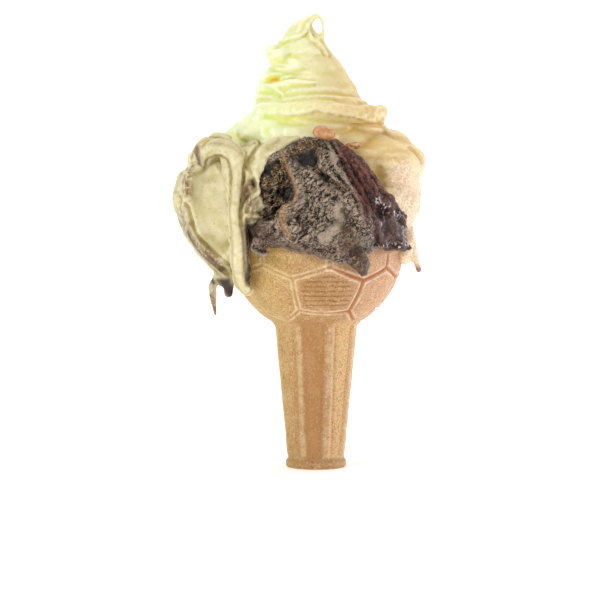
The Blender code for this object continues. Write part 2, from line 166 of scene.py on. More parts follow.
# Strokes on the cream, their paths in picture pixels
CREAM_STROKES = [
    # the cap and its strands
    ("tube", [(316.4, 15.5), (308, 24), (304.5, 32), (299.5, 36.5), (286, 40), (276, 46), (268, 53)],
     [1.4, 1.6, 1.8, 2, 2.2, 2.4], 1.4, 0.8),
    ("dent", (290, 31), (13, 6), -42, 1, (0.2, 1.1)),
    ("tube", [(308, 27), (309.6, 37), (316.5, 44), (323, 50.5), (326.5, 55)], [1.5, 1.8, 2, 1.6], 1.3,
     0.6),
    ("tube", [(322.3, 38), (326.5, 46.5), (332, 57)], [1.4, 1.8, 1.4], 1.1, 0.5),
    ("step", [(268, 58), (279, 54.2), (291, 54.2), (306, 53.3), (323, 55)], 8, 1, 0.8, -1),
    # rolled folds down the left side
    ("dent", (287, 65.3), (17, 7), 2, -1.5, (0.72, 1.08)),
    ("ridge", [(268, 60.2), (279, 59.8), (290, 61)], 0.9, -0.8),
    ("ridge", [(268, 63.8), (279, 63), (290, 63.6)], 1, -1.3),
    ("ridge", [(268, 68.2), (279, 67.2), (287, 67.6)], 0.9, -1),
    ("ridge", [(271, 50), (280, 48), (291, 47.5)], 1.2, -0.8),
    ("dent", (272, 50.5), (8, 4.5), -20, -0.6, (0.4, 1.1)),
    ("ridge", [(266, 55.5), (274, 53), (286, 51.5)], 1.1, -1),
    ("step", [(268, 73.5), (284, 73.5), (303, 73), (318, 70)], 7, 0.8, 1, 1),
    ("dent", (274, 79.3), (9.5, 4.2), -12, 1.9, (0.3, 1.15)),
    ("tube", [(275, 81.5), (284, 79.5), (293, 77.5)], [1.8, 2.4, 1.4], 1.6, 0.7),
    ("tube", [(263, 88.5), (272.5, 86.5), (286, 84.5), (300, 83), (316, 84)], [2.2, 3, 2.6, 1.6], 1.7,
     0.8),
    ("tube", [(268, 87), (277.5, 90), (284, 95)], [1.8, 2.2, 1.6], 1.5, 0.7),
    ("tube", [(254, 97.4), (262, 96.8), (271, 97.2)], [1.6, 2.2, 1.4], 1.6, 0.6),
    ("ridge", [(262, 92.5), (272, 93.5), (282, 97)], 1, -1),
    ("ridge", [(283, 74), (296, 74.6), (310, 76.5)], 1.2, -0.6),
    ("ridge", [(288, 91), (310, 89), (332, 90), (350, 93)], 2.6, 0.5),
    # ribbon round the middle, frayed along its lower edge
    ("step", [(253, 101.6), (277.5, 99.9), (303, 96.5), (328, 96.5), (345, 98.2), (359, 100),
     (380, 106)], 10, 1.3, 0.7, 1, 0.03),
    ("ridge", [(288, 103), (311, 100), (330, 101.6), (345, 105), (364, 107)], 1.2, -0.9, 0.1),
    ("step", [(258, 119), (264, 117), (277.5, 115.2), (291, 115.2), (308, 112.6), (316.5, 111),
     (326.5, 112.6), (340, 114.3), (357, 117.7), (370.5, 121), (386, 122.5)], 7, 1.7, 0.6, -1, 0.03),
    ("dent", (257, 116), (9, 6), -10, -1.6, (0.5, 1.1)),
    ("ridge", [(250, 113.5), (257, 112), (264, 112.5)], 1, -0.9),
    ("ridge", [(251, 118), (258, 118.5), (263, 116.5)], 0.9, -0.9),
    ("ridge", [(291, 119), (303, 121.5), (323, 125), (345, 126), (364, 128), (381, 130.5), (395, 136)],
     2.2, 0.9, 0.06),
    ("ridge", [(262, 126), (262, 139)], 2.4, 1, 0.3),
    ("ridge", [(272, 127), (275, 141)], 2.4, 1.1, 0.3),
    ("ridge", [(248, 130), (240, 140)], 2.6, 1, 0.3),
    ("ridge", [(284, 128), (287, 137)], 2.2, 0.8, 0.3),
    # right lobe
    ("ridge", [(408, 145), (417, 153.5), (425, 165)], 1.4, -1.7),
    ("ridge", [(412, 143), (421, 152), (428, 164)], 2.4, 1),
    ("dent", (379, 177), (9, 18), -14, 1.6, (0.2, 1.15)),
    ("ridge", [(388, 162), (400, 168), (414, 166)], 3, 0.8),
]

# Strokes on the pistachio
PISTACHIO_STROKES = [
    # the roll that curls over the scooped face and hangs down to a drip
    ("tube", ROLL, ROLL_WIDTHS, 2.8, 1.5),
    ("ridge", [(204, 156), (213, 150.5), (224, 152.5), (230, 160), (231.5, 176), (230.5, 196)], 1,
     -0.6),
    ("ridge", [(222, 146), (233, 152), (239.5, 165), (241, 185)], 1, -0.5),
    # crumbly rim on the left and the ribbed band outside it
    ("ridge", [(196, 154), (191, 168), (187, 182), (188, 196), (188, 205)], 4, 2, 0.06),
    ("ridge", [(187.3, 201), (189.5, 214), (195.8, 233), (208.5, 247), (220, 258)], 1.3, -1.8, 0.05),
    ("tube", [(177, 196), (180, 212), (185, 227), (194, 242), (206, 256), (217, 267), (226, 277)],
     [2.4, 3.2, 3, 2.6], 1.4, 0.9),
    ("tube", [(184, 206), (187, 219), (192.5, 234), (203, 247), (216, 258), (228, 267)],
     [2, 2.6, 2.6, 2.4], 1.3, 0.7),
    # between the roll and the chocolate
    ("step", [(262, 141), (255, 150), (248, 160), (244.5, 168), (250, 173), (252.5, 178), (247, 186),
     (241, 194), (238, 206)], 8, 1.8, 0.8, 1),
    ("ridge", [(252, 181), (254, 186)], 2.7, -3.6, 0),
    ("tube", [(262, 189), (252, 198), (245, 208), (241.5, 219)], [2.4, 2.8, 2], 1.6, 0.9),
    ("tube", [(243, 226), (245, 217), (252, 214.5), (262, 217)], [2.4, 2.6, 2], 1.6, 0.8),
    ("ridge", [(300, 137), (284, 145), (270, 156)], 3.2, 1.6, 0.06),
    ("dent", (272, 184), (13, 24), 8, 5, (0.5, 1.05)),
    ("ridge", [(278, 138), (262, 148), (256, 160)], 2.6, 0.9),
    ("tube", [(203, 148), (208, 140), (218, 135), (230, 139), (243, 143), (256, 143)], [2, 3, 3, 2], 1,
     0.8),
]

# Strokes on the chocolate
CHOCOLATE_STROKES = [
    ("dent", (307, 160), (13, 10), 0, 2.8, (0.3, 1.1)),
    ("step", TAN, 14, 2.4, 0.7, -1, 0.05),
    ("ridge", TAN, 1.3, 0.7, 0.03),
    ("step", [(281, 215), (283, 226), (289, 236), (300, 244), (315, 251), (330, 258)], 9, 1.6, 0.8, 1),
    ("tube", [(249, 218.5), (260, 213), (270, 209), (284, 204)], [2.6, 3.6, 3], 2.2, 1.2),
    ("tube", [(252, 247), (256, 252), (263, 254), (270, 251)], [2, 2.6, 1.8], 1.2, 0.4),
    ("ridge", [(254.5, 224), (253.5, 238), (256, 248)], 1.5, 1),
    ("ridge", [(262, 240), (272, 233), (279, 222)], 2.2, -1),
    ("ridge", [(313, 166), (320, 172), (328, 180), (336, 186), (346, 193)], 3, -2.4),
    ("ridge", SMEAR, 5, 0.7),
    ("ridge", RIBBON, 3, 1.8),
    ("tube", [(333, 165), (341, 174), (350.5, 187), (358, 200), (361, 212)], [2.4, 2.2, 1.8], 1.3, 0.7),
    ("tube", [(334, 142), (344, 160), (355, 180), (367, 203), (371, 228)], [2, 2.8, 2.6, 2], 0.7, 0.5),
    ("tube", [(345, 146), (359, 162), (371, 181), (380, 198), (384, 212)], [2, 2.8, 2.6, 2], 0.35, 0.2),
    ("tube", [(360, 156), (373, 173), (384, 189), (397, 202), (405, 216)], [2.2, 3, 2.6, 2], 0.6, 0.3),
    ("tube", [(372, 247), (381, 246), (392, 247.5), (403, 248.5), (409, 247)], [1.8, 2.6, 2.8, 2], 1.2,
     0.6),
    ("tube", [(400, 212), (406, 224), (409, 237), (409, 248)], [1.8, 2.6, 2.4], 1.4, 0.8),
    ("dent", (391, 230), (13, 13), 0, 1, (0.2, 1.1)),
    ("ridge", [(372, 214), (377, 228), (376, 244)], 1.8, -1.4),
]

CREAM_SHIFT = ([(38, 0), (45, -8), (56, -8.5), (63, -6), (70, -4.5), (80, -6), (92, -7), (98, -5.5),
    (103, 0)], 300, 332)
PISTACHIO_SHIFT = ([(128, 0), (136, 4), (146, 8), (155, 5), (165, 3), (172, 0), (200, 1), (212, 3),
    (224, 6), (236, 4), (248, 6), (262, 6), (272, 7), (279, 6), (285, 3), (300, 2), (316, 1)], 262, 205)
CHOCOLATE_SHIFT = ([(196, 0), (206, -5), (222, -6), (240, -3), (252, 0)], 382, 405)
CARAMEL_BALLS = [
    ((2, -33.6, 126.4), (3.2, 2.6, 2.5), 10), ((4.6, -33.3, 125.6), (2.2, 2.1, 2), -30),
     ((0.2, -33.8, 126.6), (1.7, 1.7, 1.6), 0),
    ((14.6, -32.4, 121.6), (1.9, 1.6, 1.3), -20), ((12.4, -32.6, 122.1), (1.9, 1.2, 0.7), -10),
]
SCOOP = ((211.5, 211), (19.5, 48), -9)
SCOOP_EDGE = (0.8, 1)
RIM = [(196, 154), (190, 170), (185.5, 190), (187, 206)]

# Painted paths: share, path, width, and where given the ends and the sharpness
# Chocolate smears on the pistachio, and painted shade in the small hole beside the chocolate.
PISTACHIO_CHOC_AND_SHADE = [
    (1, [(247.5, 224), (249.5, 240), (250, 255), (250.5, 268), (249, 282)], 4.6, 0.03, 4),
    (0.85, [(186, 228), (193, 243), (204, 257), (217, 268), (228, 277)], 1),
    (0.7, [(195, 152), (198, 160), (201, 166)], 1, 0),
    # painted shade in the small hole beside the chocolate
    (1, [(252, 181), (254, 186)], 2.2, 0),
    (0.5, [(181, 173.5), (185.5, 177)], 1.6),
    (1, [(209, 276), (214, 283)], 2, 0),
]
PISTACHIO_MAUVE = [
    (1, [(179, 206), (183, 222), (191, 238), (203, 252), (216, 263), (226, 274)], 5),
    (1, [(197, 148), (199, 163)], 2.2, 0),
    (0.9, [(212, 268), (212, 290), (216, 312)], 3.5),
    (0.6, [(243, 228), (245, 250), (247, 280)], 3),
    (0.7, [(205, 146), (213, 143), (224, 145)], 1.4),
]
PISTACHIO_BROWN = [
    (1, [(184, 182), (188, 188), (187, 193)], 4, 0),
    (0.8, [(197, 148), (199, 163)], 2, 0),
    (0.9, [(246, 188), (249, 203)], 7, 0),
    (0.9, [(203, 250), (215, 261), (224, 272)], 3.4),
    (1, [(211, 296), (216, 314)], 2.8, 0),
    (0.8, [(255, 206), (251, 219)], 4, 0),
]
# Painted shade along a crease of the rim, between the lower tubes and along the step beside the
# chocolate.
PISTACHIO_OLIVE_SHADE = [
    (0.9, [(187.3, 201), (189.5, 214), (195.8, 233), (208.5, 247), (220, 258)], 1.6),
    (0.7, [(206, 262), (222, 276), (230, 282)], 2.5),
    (0.7, [(262, 141), (248, 160), (244.5, 168), (250, 173), (247, 186)], 1.6),
]
CHOCOLATE_GLINTS = [
    (1, [(374, 196), (382, 205), (393, 211), (403, 223)], 3.8),
    (1, [(403, 218), (407, 232), (409, 248)], 4),
    (1, [(376, 248), (388, 245), (404, 246)], 2.8),
    (0.6, [(372, 214), (370, 232), (374, 250), (371, 264)], 3),
    (0.5, [(384, 210), (380, 226)], 3),
]
# Painted sheen: highlights along the ribbon, the top crest, a tube, the flap's edge and the middle of
# the face.
CHOCOLATE_SHEEN = [
    (1, RIBBON, 2.3),
    (0.7, [(275, 147), (283, 147), (291, 140), (300, 138)], 2.6),
    (0.8, [(333, 165), (341, 174), (350.5, 187), (358, 200)], 1.6),
    (0.8, [(254.5, 224), (253.5, 238), (256, 248)], 1),
    (0.45, [(300, 178), (297, 192), (300, 206)], 5),
]
# Dark paths: painted shade in the long crease; the top, a band along the left tube and the lower right
# drip are painted dark as well.
CHOCOLATE_DARK = [
    (0.9, [(313, 166), (328, 180), (346, 193)], 4),
    (0.85, [(292, 147), (305, 143), (322, 148)], 6),
    (0.7, [(250, 219), (268, 211), (284, 205)], 2),
    (0.7, [(350, 250), (356, 262), (362, 272)], 5),
    (0.6, [(345, 225), (352, 240), (352, 254)], 5),
]
TOP_DARK = ((304, 149), (23, 11))
BASIN_DARK = ((307, 160), (14, 11), 0, (0.5, 1.1))
# Painted shade on the cream: in fold creases, under the ribbon, beside the chocolate and in the lobe's
# folds.
CREAM_SHADE = [
    (0.9, [(268, 63.8), (279, 63), (290, 63.6)], 1.1),
    (0.8, [(268, 68.2), (279, 67.2), (287, 67.6)], 1),
    (0.8, [(256, 99.5), (272, 99.5)], 1.2),
    (0.9, [(408, 145), (417, 153.5), (425, 165)], 1.3),
    (0.45, [(266, 119), (291, 117.5), (303, 118.5), (323, 120.5), (345, 121.5), (372, 125.5)], 2.4),
    (0.65, [(380, 163), (377, 177), (381, 190)], 7),
    (0.35, [(360, 150), (370, 160)], 6),
    (0.5, [(232, 131), (244, 142)], 2),
    (0.4, [(266, 130), (268, 140)], 1.8),
    (0.35, [(262, 109), (290, 106), (325, 104.5), (355, 109), (383, 114)], 7),
]
FRAY = ([(262, 116.5), (290, 114.5), (308, 112), (316.5, 110.5), (340, 113.5), (357, 117),
    (386, 121.5)], 3.2, 0.02)
RIBBON_BAND = ([(262, 110), (290, 106), (325, 104.5), (355, 109), (383, 114)], 9, 0.02, 4)
LOBE_X = (372, 386)
LOBE_Y = (150, 166)
TORN_X = (240, 252)
TORN_Y = (158, 175)
PATCH_Y = (276, 281)
SCOOP_LOW_Y = (228, 252)
CREST_Y = (152, 144)
CREST_X = (205, 225)
HOLLOW_X = (258, 268)
LOW_RIGHT_X = (350, 375)
RED_EDGE = (329, 340)
PEACH_X = (384, 396)
PEACH_Y = (154, 172)
LOW_RIGHT_Y = (185, 225)
STRAND_TIP_Z = (77.5, 75.5)
STRAND_X = 34
# Painted shade in the notch under a fold on the left of the cone: a yellow oval with an orange core.
NOTCH_SHADE = ((274, 79), (10, 4.6))
NOTCH_CORE_SHADE = ((275, 80), (6.5, 2.2))
# Painted shade in the basin hollow, blue-black.
BASIN_SHADE = ((306.5, 159), (12.5, 9))
SKIRT = ([(262, 246), (282, 245), (300, 249), (318, 256), (336, 262)], 4)
FLAP = ([(258, 228), (263, 238), (266, 246)], 7, 0)
PANEL = ((392, 231), (18, 18))
BASIN = ((307, 160), (12, 8), 0, (0.4, 1.1))
CAP = ((285, 141), (14, 7), -18)
TOP = ((303, 150), (21, 10))
CHOCOLATE_UMBER = [
    (0.5, [(300, 248), (320, 252), (340, 256)], 9),
    (0.8, [(338, 214), (346, 232), (352, 250)], 9, 0.1),
    (1, [(352, 250), (358, 260), (362, 272)], 9, 0),
    (1, [(252, 225), (262, 232), (272, 240)], 9, 0),
]
# Painted highlight along the lower end of the ridge.
RIDGE_HIGHLIGHT_FOOT = ([(284, 210), (283, 224), (288, 235)], 3.6)
EVEN_STRIP = ([(288, 160), (293, 172), (298, 186), (299, 200), (293, 214)], 5)
RED_DRIP = ([(350, 247), (358, 259), (362, 272)], 9, 0)
RED_TOP = 145
LOW_RIGHT_MID = 380
DARK_PATCH = ([(223, 279), (227, 287), (232, 295)], 7, 0, 4)

# The picture's camera: 600 pixels across, level with the heap and a little above it
LOOK_AT = np.array((-6.1, 0.0, 63.5))
DISTANCE = 900.0
ELEVATION = math.radians(3.0)
FRAME_MM = 228.0
PICTURE_PX = 600.0
PIXEL_MM = FRAME_MM / PICTURE_PX
FOCAL_PX = PICTURE_PX / FRAME_MM * DISTANCE
EYE = LOOK_AT + DISTANCE * np.array((0.0, -math.cos(ELEVATION), math.sin(ELEVATION)))
FORWARD = (LOOK_AT - EYE) / DISTANCE
RIGHT = np.array((1.0, 0.0, 0.0))
UP = np.cross(RIGHT, FORWARD)


def rgb(code):
    """A web colour as linear values."""
    out = []
    for i in (1, 3, 5):
        v = int(code[i:i + 2], 16) / 255.0
        out.append(v / 12.92 if v <= 0.04045 else ((v + 0.055) / 1.055) ** 2.4)
    return (*out, 1.0)


# Base forms

def new_object(name, mesh):
    ob = bpy.data.objects.new(name, mesh)
    bpy.context.scene.collection.objects.link(ob)
    return ob


def meshed(name, bm):
    mesh = bpy.data.meshes.new(name)
    bm.to_mesh(mesh)
    bm.free()
    return new_object(name, mesh)


def evaluated(ob):
    depsgraph = bpy.context.evaluated_depsgraph_get()
    return bpy.data.meshes.new_from_object(ob.evaluated_get(depsgraph))


def baked(ob):
    mesh = evaluated(ob)
    ob.modifiers.clear()
    ob.data = mesh
    return ob


def add_ball(bm, centre, half, turn, segments=48, rings=32):
    place = Matrix.Translation(Vector(centre) * MM)
    place = place @ Euler((0.0, math.radians(turn), 0.0)).to_matrix().to_4x4()
    place = place @ Matrix.Diagonal((half[0] * MM, half[1] * MM, half[2] * MM, 1.0))
    bmesh.ops.create_uvsphere(bm, u_segments=segments, v_segments=rings, radius=1.0, matrix=place)


def add_rope(bm, points):
    curve = bpy.data.curves.new("rope", "CURVE")
    curve.dimensions = "3D"
    curve.bevel_depth = MM
    curve.bevel_resolution = 6
    curve.use_fill_caps = True
    curve.resolution_u = 14
    spline = curve.splines.new("BEZIER")
    spline.bezier_points.add(len(points) - 1)
    for knot, (x, y, z, r) in zip(spline.bezier_points, points):
        knot.co = Vector((x, y, z)) * MM
        knot.radius = r
        knot.handle_left_type = "AUTO"
        knot.handle_right_type = "AUTO"
    ob = new_object("rope", curve)
    mesh = evaluated(ob)
    bpy.data.objects.remove(ob, do_unlink=True)
    bm.from_mesh(mesh)
    bpy.data.meshes.remove(mesh)
    for x, y, z, r in (points[0], points[-1]):
        add_ball(bm, (x, y, z), (r, r, r), 0.0, 24, 16)


def skinned(ob, voxel, smooth):
    remesh = ob.modifiers.new("skin", "REMESH")
    remesh.mode = "VOXEL"
    remesh.voxel_size = voxel * MM
    if smooth:
        soften = ob.modifiers.new("soften", "SMOOTH")
        soften.factor = 0.5
        soften.iterations = smooth
    return baked(ob)


def melted(name, balls, ropes, voxel, smooth):
    bm = bmesh.new()
    for centre, half, turn in balls:
        add_ball(bm, centre, half, turn)
    for points in ropes:
        add_rope(bm, points)
    return skinned(meshed(name, bm), voxel, smooth)


def revolved(name, profile, steps):
    """A profile of radius and height turned about the upright axis."""
    bm = bmesh.new()
    verts = [bm.verts.new((r * MM, 0.0, z * MM)) for r, z in profile]
    for pair in zip(verts, verts[1:]):
        bm.edges.new(pair)
    ob = meshed(name, bm)
    screw = ob.modifiers.new("turn", "SCREW")
    screw.axis = "Z"
    screw.steps = screw.render_steps = steps
    screw.use_merge_vertices = True
    screw.merge_threshold = WELD
    baked(ob)
    bm = bmesh.new()
    bm.from_mesh(ob.data)
    bmesh.ops.remove_doubles(bm, verts=bm.verts, dist=WELD)
    bmesh.ops.recalc_face_normals(bm, faces=bm.faces)
    bm.to_mesh(ob.data)
    bm.free()
    return ob


# Carving

def smoothstep(low, high, value):
    t = np.clip((value - low) / (high - low), 0.0, 1.0)
    return t * t * (3.0 - 2.0 * t)


def path_distance(px, py, points):
    """Distance to a path, share of its length at the nearest point, and side (left of travel is +)."""
    pts = np.array(points, float)
    seg = np.linalg.norm(np.diff(pts, axis=0), axis=1)
    start = np.concatenate([[0.0], np.cumsum(seg)])
    best = np.full(px.shape, 1e9)
    share = np.zeros(px.shape)
    side = np.ones(px.shape)
    for i in range(len(pts) - 1):
        ax, ay = pts[i]
        dx, dy = pts[i + 1] - pts[i]
        rx, ry = px - ax, py - ay
        t = np.clip((rx * dx + ry * dy) / (dx * dx + dy * dy), 0.0, 1.0)
        d = np.hypot(rx - t * dx, ry - t * dy)
        near = d < best
        best = np.where(near, d, best)
        share = np.where(near, (start[i] + t * seg[i]) / start[-1], share)
        side = np.where(near, np.sign(dx * ry - dy * rx), side)
    return best, share, side


def curved(points, steps=6):
    """A smooth path through the points."""
    pts = [np.array(p, float) for p in points]
    pts = [2 * pts[0] - pts[1]] + pts + [2 * pts[-1] - pts[-2]]
    out = []
    for i in range(1, len(pts) - 2):
        for k in range(steps):
            t = k / steps
            a, b, c, d = pts[i - 1:i + 3]
            out.append(0.5 * (2 * b + (c - a) * t + (2 * a - 5 * b + 4 * c - d) * t ** 2 + (3 * b - a
                - 3 * c + d) * t ** 3))
    out.append(pts[-2])
    return out


class Clay:
    """A mesh whose surface is moved along its normals, in millimetres."""

    def __init__(self, ob):
        self.ob = ob
        self.marks = {}
        self.read()

    def read(self):
        mesh = self.ob.data
        n = len(mesh.vertices)
        flat = np.empty(n * 3)
        mesh.vertices.foreach_get("co", flat)
        self.co = flat.reshape(-1, 3) / MM
        mesh.vertex_normals.foreach_get("vector", flat)
        self.normal = flat.reshape(-1, 3).copy()
        rel = self.co - EYE
        depth = rel @ FORWARD
        self.px = PICTURE_PX / 2 + FOCAL_PX * (rel @ RIGHT) / depth
        self.py = PICTURE_PX / 2 - FOCAL_PX * (rel @ UP) / depth
        toward = -rel / np.linalg.norm(rel, axis=1)[:, None]
        self.front = smoothstep(0.02, 0.35, (self.normal * toward).sum(axis=1))
        self.off = np.zeros(n)

    def apply(self):
        self.co += self.normal * self.off[:, None]
        self.ob.data.vertices.foreach_set("co", (self.co * MM).ravel())
        self.ob.data.update()
        self.read()

    def smooth(self, iterations, mask):
        """Evens the surface out where the mask is."""
        group = self.ob.vertex_groups.new(name="soft")
        level = np.round(np.clip(mask, 0.0, 1.0) * 10).astype(int)
        for i in range(1, 11):
            group.add(np.nonzero(level == i)[0].tolist(), i / 10.0, "REPLACE")
        soften = self.ob.modifiers.new("soften", "SMOOTH")
        soften.factor = 0.5
        soften.iterations = iterations
        soften.vertex_group = group.name
        baked(self.ob)
        self.ob.vertex_groups.clear()
        self.read()

    def remesh(self, voxel, smooth=0):
        skinned(self.ob, voxel, smooth)
        self.read()

    def nudge(self, rows, low, high):
        """Moves an outline sideways: rows of (picture row, pixels), in full beyond column high."""
        dx = np.interp(self.py, [r[0] for r in rows], [r[1] for r in rows]) * PIXEL_MM
        self.co[:, 0] += dx * smoothstep(low, high, self.px)
        self.apply()

    def weight(self, points, width, ends=0.12, sharp=2.0):
        d, t, side = path_distance(self.px, self.py, curved(points))
        w = np.exp(-(d / width) ** sharp)
        if ends:
            w = w * smoothstep(0.0, ends, t + 0.02) * smoothstep(0.0, ends, 1.02 - t)
        return w * self.front, d, t, side

    def ridge(self, points, width, height, ends=0.12, sharp=2.0):
        self.off += self.weight(points, width, ends, sharp)[0] * height

    def tube(self, points, widths, height, crease=0.6):
        """A rolled fold: round across, with a crease along both its sides."""
        d, t, _ = path_distance(self.px, self.py, curved(points))
        w = np.interp(t, np.linspace(0.0, 1.0, len(widths)), widths)
        u = d / w
        body = np.sqrt(np.clip(1.0 - u * u, 0.0, 1.0))
        valley = np.exp(-((d - w - 0.6) / 1.1) ** 2)
        live = (t > 0.0) & (t < 1.0)
        self.off += (body * height - valley * live * crease) * self.front

    def step(self, points, reach, height, soft=0.8, side=1.0, ends=0.12):
        """Raises one side of the path and leaves the other, a layer that ends in an edge."""
        d, t, s = path_distance(self.px, self.py, curved(points))
        signed = d * s * side
        w = 0.5 * (1.0 + np.tanh(signed / soft)) * np.exp(-np.clip(signed, 0.0, None) / reach)
        w = w * smoothstep(0.0, ends, t + 0.001) * smoothstep(0.0, ends, 1.001 - t) * self.front
        self.off += w * height

    def patch(self, centre, half, turn=0.0, rim=(0.6, 1.1)):
        """An oval area with a soft edge."""
        a = math.radians(turn)
        dx, dy = self.px - centre[0], self.py - centre[1]
        u = (dx * math.cos(a) + dy * math.sin(a)) / half[0]
        v = (-dx * math.sin(a) + dy * math.cos(a)) / half[1]
        return (1.0 - smoothstep(rim[0], rim[1], np.hypot(u, v))) * self.front

    def dent(self, centre, half, turn, depth, rim=(0.8, 1.1)):
        self.off -= self.patch(centre, half, turn, rim) * depth

    def carve(self, strokes):
        """Each stroke is a kind, ridge, tube, step or dent, and its values."""
        for kind, *values in strokes:
            getattr(self, kind)(*values)

    def strongest(self, spots):
        """The largest of several painted paths, each a share, a path, a width and its ends."""
        return np.maximum.reduce([share * self.weight(path, *shape)[0] for share, path,
            *shape in spots])

    def space(self, scale, seed, stretch, turn):
        """The points for a noise with lumps of this size, turned in the front view."""
        a = math.radians(turn)
        x, y, z = self.co.T
        p = np.stack([x * math.cos(a) + z * math.sin(a), y, z * math.cos(a) - x * math.sin(a)], axis=1)
        return p / scale * np.array(stretch) + seed

    def rough(self, scale, octaves=3, seed=0.0, stretch=(1.0, 1.0, 1.0), turn=0.0):
        """Fractal noise at each point, about -1 to 1; scale is the size of a lump."""
        p = self.space(scale, seed, stretch, turn)
        return np.array([noise.fractal(v, 1.0, 2.1, octaves) for v in p.tolist()])

    def facets(self, scale, seed, stretch=(1.0, 1.0, 1.0), turn=0.0):
        """Tilted crumbs with cracks between them, about -1 to 1."""
        p = self.space(scale, seed, stretch, turn)
        near = np.empty((len(p), 3))
        gap = np.empty(len(p))
        for i, v in enumerate(p.tolist()):
            d, q = noise.voronoi(v)
            near[i] = q[0]
            gap[i] = d[1] - d[0]
        key = np.stack([near @ k for k in ((12.9, 78.2, 37.7), (39.3, 11.1, 83.1), (73.1, 52.2, 9.1))],
            axis=1)
        luck = np.sin(key) * 4375.85
        luck = luck - np.floor(luck) - 0.5
        lean = ((p - near) * luck).sum(axis=1)
        edge = smoothstep(0.0, 0.13, gap)
        return (0.7 * luck[:, 0] + 1.8 * lean) * edge - 0.7 * (1.0 - edge)

    def torn(self, scale, seed, stretch=(1.0, 1.0, 1.0), turn=0.0, octaves=2):
        """Sharp crests with pits between them, about -1 to 1."""
        n = self.rough(scale, octaves, seed, stretch, turn)
        return 1.0 - 2.0 * np.sqrt(np.clip(np.abs(n) * 1.6, 0.0, 1.0))

    def relief(self, passes, size):
        """How far each point stands out: 0 in a crease, 0.5 on a plain, 1 on a crest."""
        mesh = self.ob.data
        n = len(mesh.vertices)
        ends = np.empty(len(mesh.edges) * 2, dtype=np.int64)
        mesh.edges.foreach_get("vertices", ends)
        a, b = ends[0::2], ends[1::2]
        count = np.maximum(np.bincount(a, minlength=n) + np.bincount(b, minlength=n), 1)
        soft = self.co.copy()
        for _ in range(passes):
            total = [np.bincount(a, soft[b, i], n) + np.bincount(b, soft[a, i], n) for i in range(3)]
            soft = 0.3 * soft + 0.7 * np.stack(total, axis=1) / count[:, None]
        out = ((self.co - soft) * self.normal).sum(axis=1)
        return np.clip(0.5 + 0.5 * out / size, 0.0, 1.0)

    def mark(self, name, values):
        """Keeps a paint value for each point, for the material."""
        old = self.marks.get(name)
        self.marks[name] = values if old is None else np.maximum(old, values)

    def oval_mark(self, name, centre, half, core, ragged):
        """Marks an oval with an uneven edge; here it lays painted shade in a notch of the cream and a
        hollow of the chocolate.
        """
        r = np.hypot((self.px - centre[0]) / half[0], (self.py - centre[1]) / half[1])
        self.mark(name, smoothstep(1.0, core, r + ragged) * self.front)

    def write_marks(self):
        for name, values in self.marks.items():
            layer = self.ob.data.attributes.new(name, "FLOAT", "POINT")
            layer.data.foreach_set("value", values.astype(np.float32))
        for face in self.ob.data.polygons:
            face.use_smooth = True


# Materials

